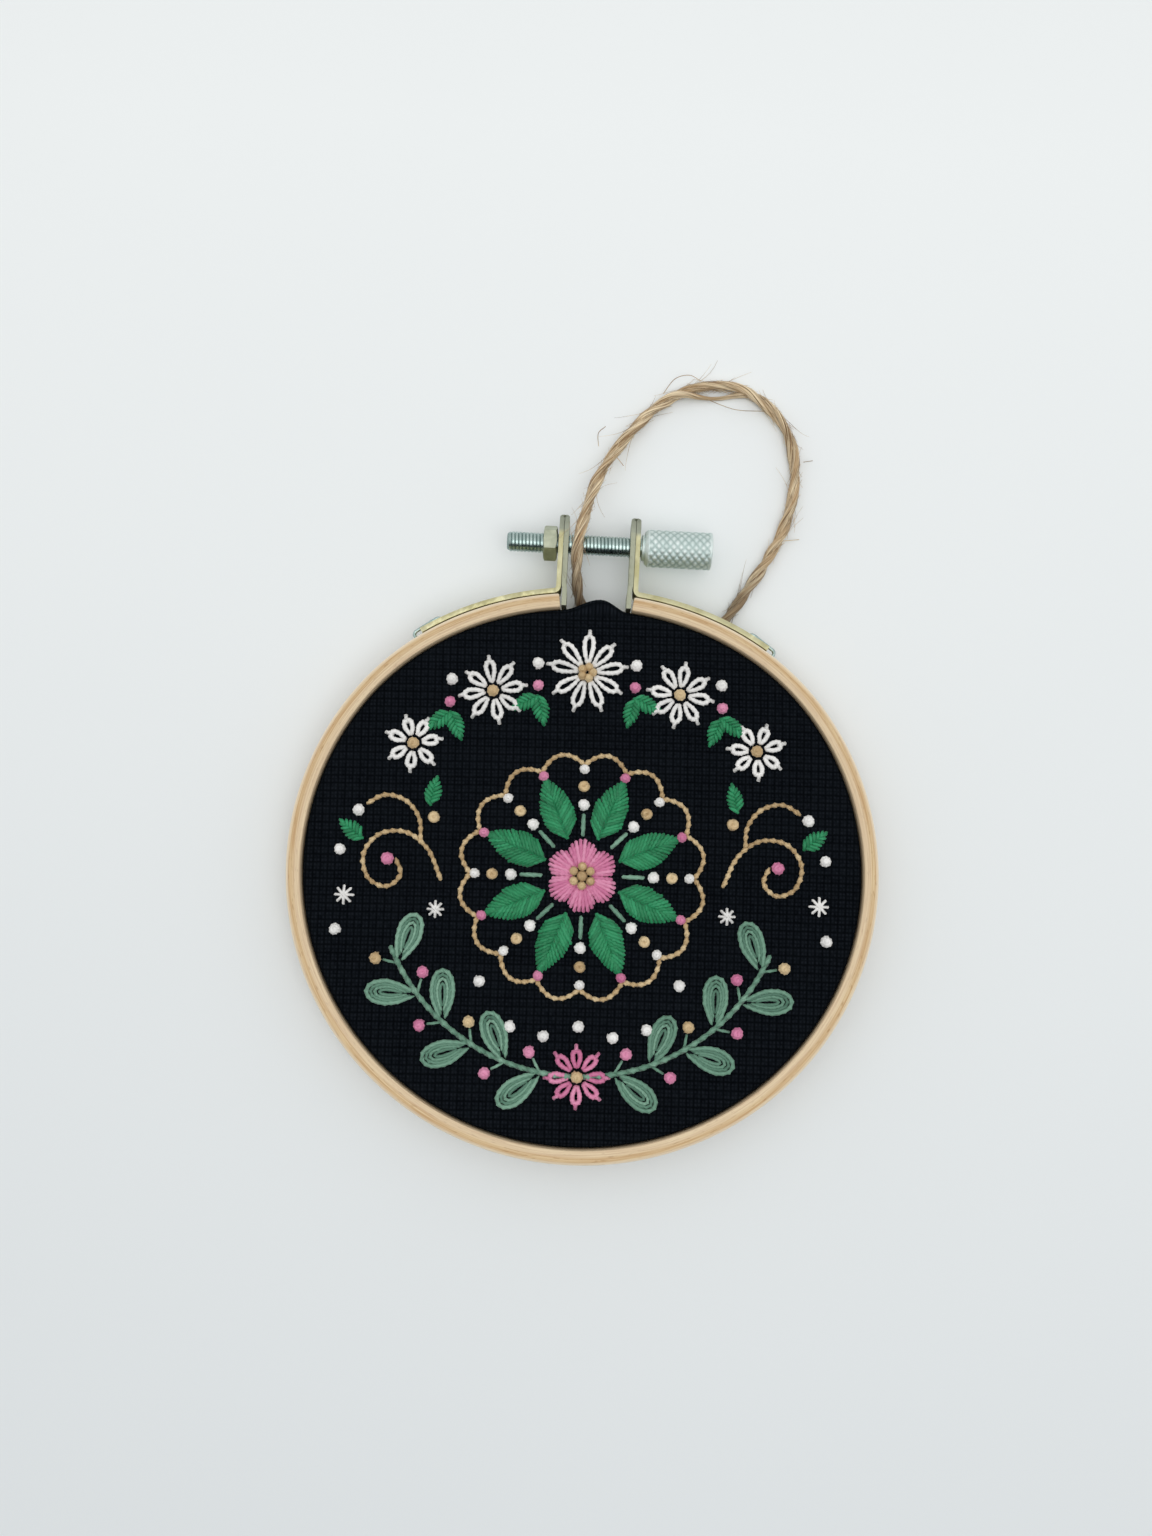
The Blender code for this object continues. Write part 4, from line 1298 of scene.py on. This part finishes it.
def strapLine():
    # foot along the wood's end, up the inner ply, over the fold, down the outer ply and round
    thick = metal["strapThick"]
    innerPly = metal["lugInner"] + thick / 2
    fold = (thick + metal["plyGap"]) / 2
    foldY = metal["lugTip"] - thick / 2 - fold
    out = hoop["wall"] + hoop["clearance"] + thick / 2
    bend = metal["strapBend"]
    bendX = innerPly + 2 * fold + bend
    bendAngle = math.asin(bendX / (openingRadius(0.16) + out))
    bendY = (openingRadius(bendAngle) + out) * math.cos(bendAngle) + bend
    lean = metal["footLean"]
    line = [(innerPly - lean, metal["footEnd"]), (innerPly - lean, 59.8), (innerPly - lean, 61.2)]
    line += [(innerPly - lean * 0.8, 61.9), (innerPly - lean * 0.2, 62.6), (innerPly, 63.2)]
    line += [(innerPly, 63.2 + (foldY - 63.2) * k / 14) for k in range(1, 14)]
    line += arcPoints(innerPly + fold, foldY, fold, 180, 0, 10)
    outer = innerPly + 2 * fold
    line += [(outer, foldY + (bendY - foldY) * k / 10) for k in range(1, 10)]
    line += arcPoints(bendX, bendY, bend, 180, 270 - math.degrees(bendAngle), 8)
    first = math.asin((bendX + 0.7) / (openingRadius(bendAngle) + out))
    last = math.radians(metal["strapEnd"])
    steps = 36
    for step in range(steps + 1):
        angle = first + (last - first) * step / steps
        radius = openingRadius(angle) + out
        line.append((radius * math.sin(angle), radius * math.cos(angle)))
    return line


def strapHalfWidth(y):
    into = y - (metal["lugTip"] - metal["strapThick"] / 2 - metal["lugCorner"])
    half = metal["strapWidth"] / 2
    if into <= 0:
        return half
    into = min(into, metal["lugCorner"])
    return half - metal["lugCorner"] + math.sqrt(metal["lugCorner"] ** 2 - into ** 2)


def cutterAlong(name, start, end, radius, sides=32):
    bm = bmesh.new()
    length = (end - start).length
    bmesh.ops.create_cone(bm, cap_ends=True, segments=sides, radius1=radius, radius2=radius, depth=length)
    turn = (end - start).to_track_quat("Z", "X").to_matrix().to_4x4()
    bmesh.ops.transform(bm, matrix=Matrix.Translation((start + end) / 2) @ turn, verts=bm.verts)
    bmesh.ops.scale(bm, vec=(mm, mm, mm), verts=bm.verts)
    mesh = bpy.data.meshes.new(name)
    bm.to_mesh(mesh)
    bm.free()
    return addPiece(name, mesh)


def stapleFrame(side):
    middle = side * math.radians((metal["stapleFrom"] + metal["stapleTo"]) / 2)
    outward = hoopPoint(middle, 1, 0) - hoopPoint(middle, 0, 0)
    along = Vector((outward.y, -outward.x, 0))
    thick = metal["strapThick"]
    crownOut = hoop["wall"] + hoop["clearance"] + thick + hoop["clearance"] + metal["wire"]
    crown = hoopPoint(middle, crownOut, hoop["screwZ"])
    reach = math.radians((metal["stapleTo"] - metal["stapleFrom"]) / 2)
    half = (crownOut + openingRadius(middle)) * math.sin(reach)
    return crown, along, outward, half, crownOut - hoop["wall"] + metal["stapleInto"]


def makeStrap(name, side, material, node):
    line, points = strapLine(), []
    across = 9
    for x, y in line:
        half = strapHalfWidth(y)
        points += [Vector((side * x, y + hoop["middleY"], hoop["screwZ"] + half * (2 * k / across - 1)))
                   for k in range(across + 1)]
    mesh = meshFromPoints(name, points, gridFaces(len(line), across))
    tidyMesh(mesh)
    made = addPiece(name, mesh, material)
    solid = made.modifiers.new("thickness", "SOLIDIFY")
    solid.thickness = metal["strapThick"] * mm
    solid.offset = 0
    solid.use_even_offset = True
    axisY = hoop["screwY"] + hoop["middleY"]
    cutters = [cutterAlong("rodCutter", Vector((side * 4, axisY, hoop["screwZ"])),
                           Vector((side * 13, axisY, hoop["screwZ"])), metal["rodHole"])]
    crown, along, outward, half, _ = stapleFrame(side)
    for share in (-half, half):
        cutters.append(cutterAlong("legCutter", crown + along * share - outward * 3,
                                   crown + along * share + outward * 1.5, metal["legHole"], 16))
    for cutter in cutters:
        cut = made.modifiers.new("hole", "BOOLEAN")
        cut.operation = "DIFFERENCE"
        cut.solver = "EXACT"
        cut.object = cutter
    applied(made)
    for cutter in cutters:
        bpy.data.objects.remove(cutter)
    ease = made.modifiers.new("eased edges", "BEVEL")
    ease.width = metal["easedEdge"] * mm
    ease.segments = 3
    ease.limit_method = "ANGLE"
    ease.angle_limit = math.radians(50)
    applied(made)
    tidyMesh(made.data, 2e-6)
    made.data.shade_smooth()
    made.data.set_sharp_from_angle(angle=math.radians(35))
    onHoop(made, "yellow_zinc", node)


def makeStaple(name, side, material, node):
    crown, along, outward, half, leg = stapleFrame(side)
    bend = metal["stapleBend"]
    corner = half - bend
    outline = [(-half, -leg), (-half, -leg / 2)] + arcPoints(-corner, -bend, bend, 180, 90, 6)
    outline += [(0, 0)] + arcPoints(corner, -bend, bend, 90, 0, 6) + [(half, -leg / 2), (half, -leg)]
    line = [(*(crown + along * u + outward * v), 1.0) for u, v in outline]
    made = strandsAlong(name, [line], {
        "Radius": metal["wire"] * mm, "Sides": 16, "Lobes": 0.0, "Lobe depth": 0.0, "Twist": 0.0,
        "Seed": 1, "Material": material})
    onHoop(made, "zinc", node)


def latheAroundScrew(rows, steps, shape=None):
    # rows are (x, radius), and shape may change both by the angle
    points, faces, rings = [], [], []
    axisY = hoop["screwY"] + hoop["middleY"]
    for x, radius in rows:
        rings.append(range(len(points), len(points) + steps))
        for k in range(steps):
            angle = 2 * math.pi * k / steps
            px, r = shape(x, radius, angle) if shape else (x, radius)
            points.append(Vector((px, axisY + r * math.cos(angle), hoop["screwZ"] + r * math.sin(angle))))
    for first, second in zip(rings, rings[1:]):
        faces += joinRings(first, second)
    return points, faces, rings


def makeNut(material):
    flats, thick = metal["nutFlats"] / 2, metal["nutThick"]
    left = -metal["lugOuter"] - hoop["clearance"] - thick
    right = left + thick

    def hexRadius(angle):
        part = math.remainder(angle, math.pi / 3)
        return flats / math.cos(part - math.copysign(math.pi / 6, part))

    def shape(x, radius, angle):
        if radius != "hex":
            return x, radius
        r = hexRadius(angle)
        drop = (r - flats * 0.985) * 0.5
        return (left + drop if x == left else right - drop), r

    bore, mouth = metal["nutBore"], metal["nutMouth"]
    rows = [(left + 0.35, bore), (left, mouth), (left, flats * 0.97), (left, "hex"), (right, "hex"),
            (right, flats * 0.97), (right, mouth), (right - 0.35, bore)]
    points, faces, rings = latheAroundScrew(rows, 72, shape)
    mesh = meshFromPoints("screwNut", points, faces + joinRings(rings[-1], rings[0]))
    tidyMesh(mesh)
    made = addPiece("screwNut", mesh, material, 30)
    onHoop(made, "zinc", "screw_nut")


def threadMesh(left, right):
    # rows that follow the helix, held between the rod's end and the collar
    pitch, crest, root = metal["pitch"], metal["rodRadius"], metal["rodRoot"]
    axisY, axisZ = hoop["screwY"] + hoop["middleY"], hoop["screwZ"]
    steps = 24
    rows, points = [], []
    for turn in range(-1, int((right - left) / pitch) + 2):
        rows += [(turn, root), (turn + 0.06, root), (turn + 0.26, crest), (turn + 0.80, crest)]
    for along, radius in rows:
        for k in range(steps + 1):
            angle = 2 * math.pi * k / steps
            lead = (along + k / steps) * pitch
            r = radius
            if lead < 0.55:
                r = min(r, metal["rodTip"] + max(lead, 0) * 0.8)
            x = min(max(left + lead, left), right + 0.05)
            points.append(Vector((x, axisY + r * math.cos(angle), axisZ + r * math.sin(angle))))
    mesh = meshFromPoints("thread", points, gridFaces(len(rows), steps))
    bm = bmesh.new()
    bm.from_mesh(mesh)
    bmesh.ops.remove_doubles(bm, verts=bm.verts, dist=2e-6)
    bmesh.ops.dissolve_degenerate(bm, edges=bm.edges, dist=2e-6)
    bm.to_mesh(mesh)
    bm.free()
    return mesh


def headMesh(collar, first, last):
    # the collar, and the head with its knurl from first to last
    headLeft, headRight = metal["knobLeft"], metal["knobRight"]
    radius, bevel, neck = metal["knobRadius"], metal["knobBevel"], metal["collarRadius"]
    around, cell, depth = metal["knurlAround"], metal["knurlCell"], metal["knurlDepth"]
    count = int((last - first) / (cell / 10))
    rows = [(collar, 0.0), (collar, metal["rodRadius"]), (collar, neck - 0.15), (collar + 0.12, neck),
            (headLeft, neck), (headLeft, radius - bevel), (headLeft + bevel, radius - 0.05)]
    rows += [(first + (last - first) * k / count, "knurl") for k in range(count + 1)]
    rows += [(headRight - 0.35, radius - 0.03), (headRight - 0.1, radius - 0.14),
             (headRight, radius - 0.4), (headRight, 1.4), (headRight, 0.0)]

    def shape(x, r, angle):
        if r != "knurl":
            return x, r
        p = around * angle / (2 * math.pi) + x / cell
        q = around * angle / (2 * math.pi) - x / cell
        # pressed diamonds with softly rounded tops
        rise = (math.sin(math.pi * (p - math.floor(p))) * math.sin(math.pi * (q - math.floor(q)))) ** 0.75
        ends = min(1, min(x - first, last - x) / 0.35 + 0.15)
        return x, radius - depth * ends * (1 - rise)

    points, faces, _ = latheAroundScrew(rows, 156, shape)
    mesh = meshFromPoints("head", points, faces)
    tidyMesh(mesh)
    return mesh


def markGrooves(mesh, collar, first, last):
    # how deep a point lies in a thread root or a knurl groove, for the painted shade there
    axisY, axisZ = hoop["screwY"] + hoop["middleY"], hoop["screwZ"]
    crest, root = metal["rodRadius"], metal["rodRoot"]
    radius, depth = metal["knobRadius"], metal["knurlDepth"]
    marks = []
    for vertex in mesh.vertices:
        away = math.hypot(vertex.co.y / mm - axisY, vertex.co.z / mm - axisZ)
        if vertex.co.x / mm < collar:
            marks.append(min(max((crest - away) / (crest - root), 0), 1) * 0.45)
        else:
            onKnurl = first < vertex.co.x / mm < last and away > radius - depth - 0.02
            marks.append(min(max((radius - away) / depth, 0), 1) * 0.9 if onKnurl else 0.15)
    grooves = mesh.attributes.new("groove", "FLOAT", "POINT")
    grooves.data.foreach_set("value", marks)


def makeThumbScrew(material, headMaterial):
    left, collar = metal["rodLeft"], metal["lugOuter"] + hoop["clearance"]
    first, last = metal["knobLeft"] + metal["knobBevel"] + 0.1, metal["knobRight"] - 0.45
    points, faces, _ = latheAroundScrew([(left + 0.01, 1.76), (left, 1.6), (left, 0.0)], 24)
    end = meshFromPoints("end", points, faces)
    bm = bmesh.new()
    for mesh in (threadMesh(left, collar), headMesh(collar, first, last), end):
        bm.from_mesh(mesh)
    bmesh.ops.remove_doubles(bm, verts=bm.verts, dist=1e-6)
    bmesh.ops.recalc_face_normals(bm, faces=bm.faces)
    mesh = bpy.data.meshes.new("thumbScrew")
    bm.to_mesh(mesh)
    bm.free()
    markGrooves(mesh, collar, first, last)
    made = addPiece("thumbScrew", mesh, material, 28)
    mesh.materials.append(headMaterial)
    for face in mesh.polygons:
        face.material_index = 1 if face.center.x > collar * mm else 0
    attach(made, "screw")
    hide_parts("thumb_screw")


yellowZinc = platedMaterial("yellow zinc plated strip", "d6d3ae", "beb98d", 0.50, 260.0, paintedShadeTone="a4a998")
brightZinc = platedMaterial("bright zinc plated steel", "bccdc9", "9bb0ac", 0.26, 420.0, grooveShade="6f8280")
nutZinc = platedMaterial("dulled zinc plated nut", "c2c7b0", "9ea48e", 0.45, 420.0)
knurledZinc = platedMaterial("knurled zinc plated steel", "f2faf8", "dbe9e6", 0.62, 420.0, grooveShade="a9bdb9")
for sideName, side in (("Left", -1), ("Right", 1)):
    makeStrap("bracket" + sideName, side, yellowZinc, "bracket_" + sideName.lower())
    makeStaple("staple" + sideName, side, brightZinc, "staple_" + sideName.lower())
makeNut(nutZinc)
makeThumbScrew(brightZinc, knurledZinc)
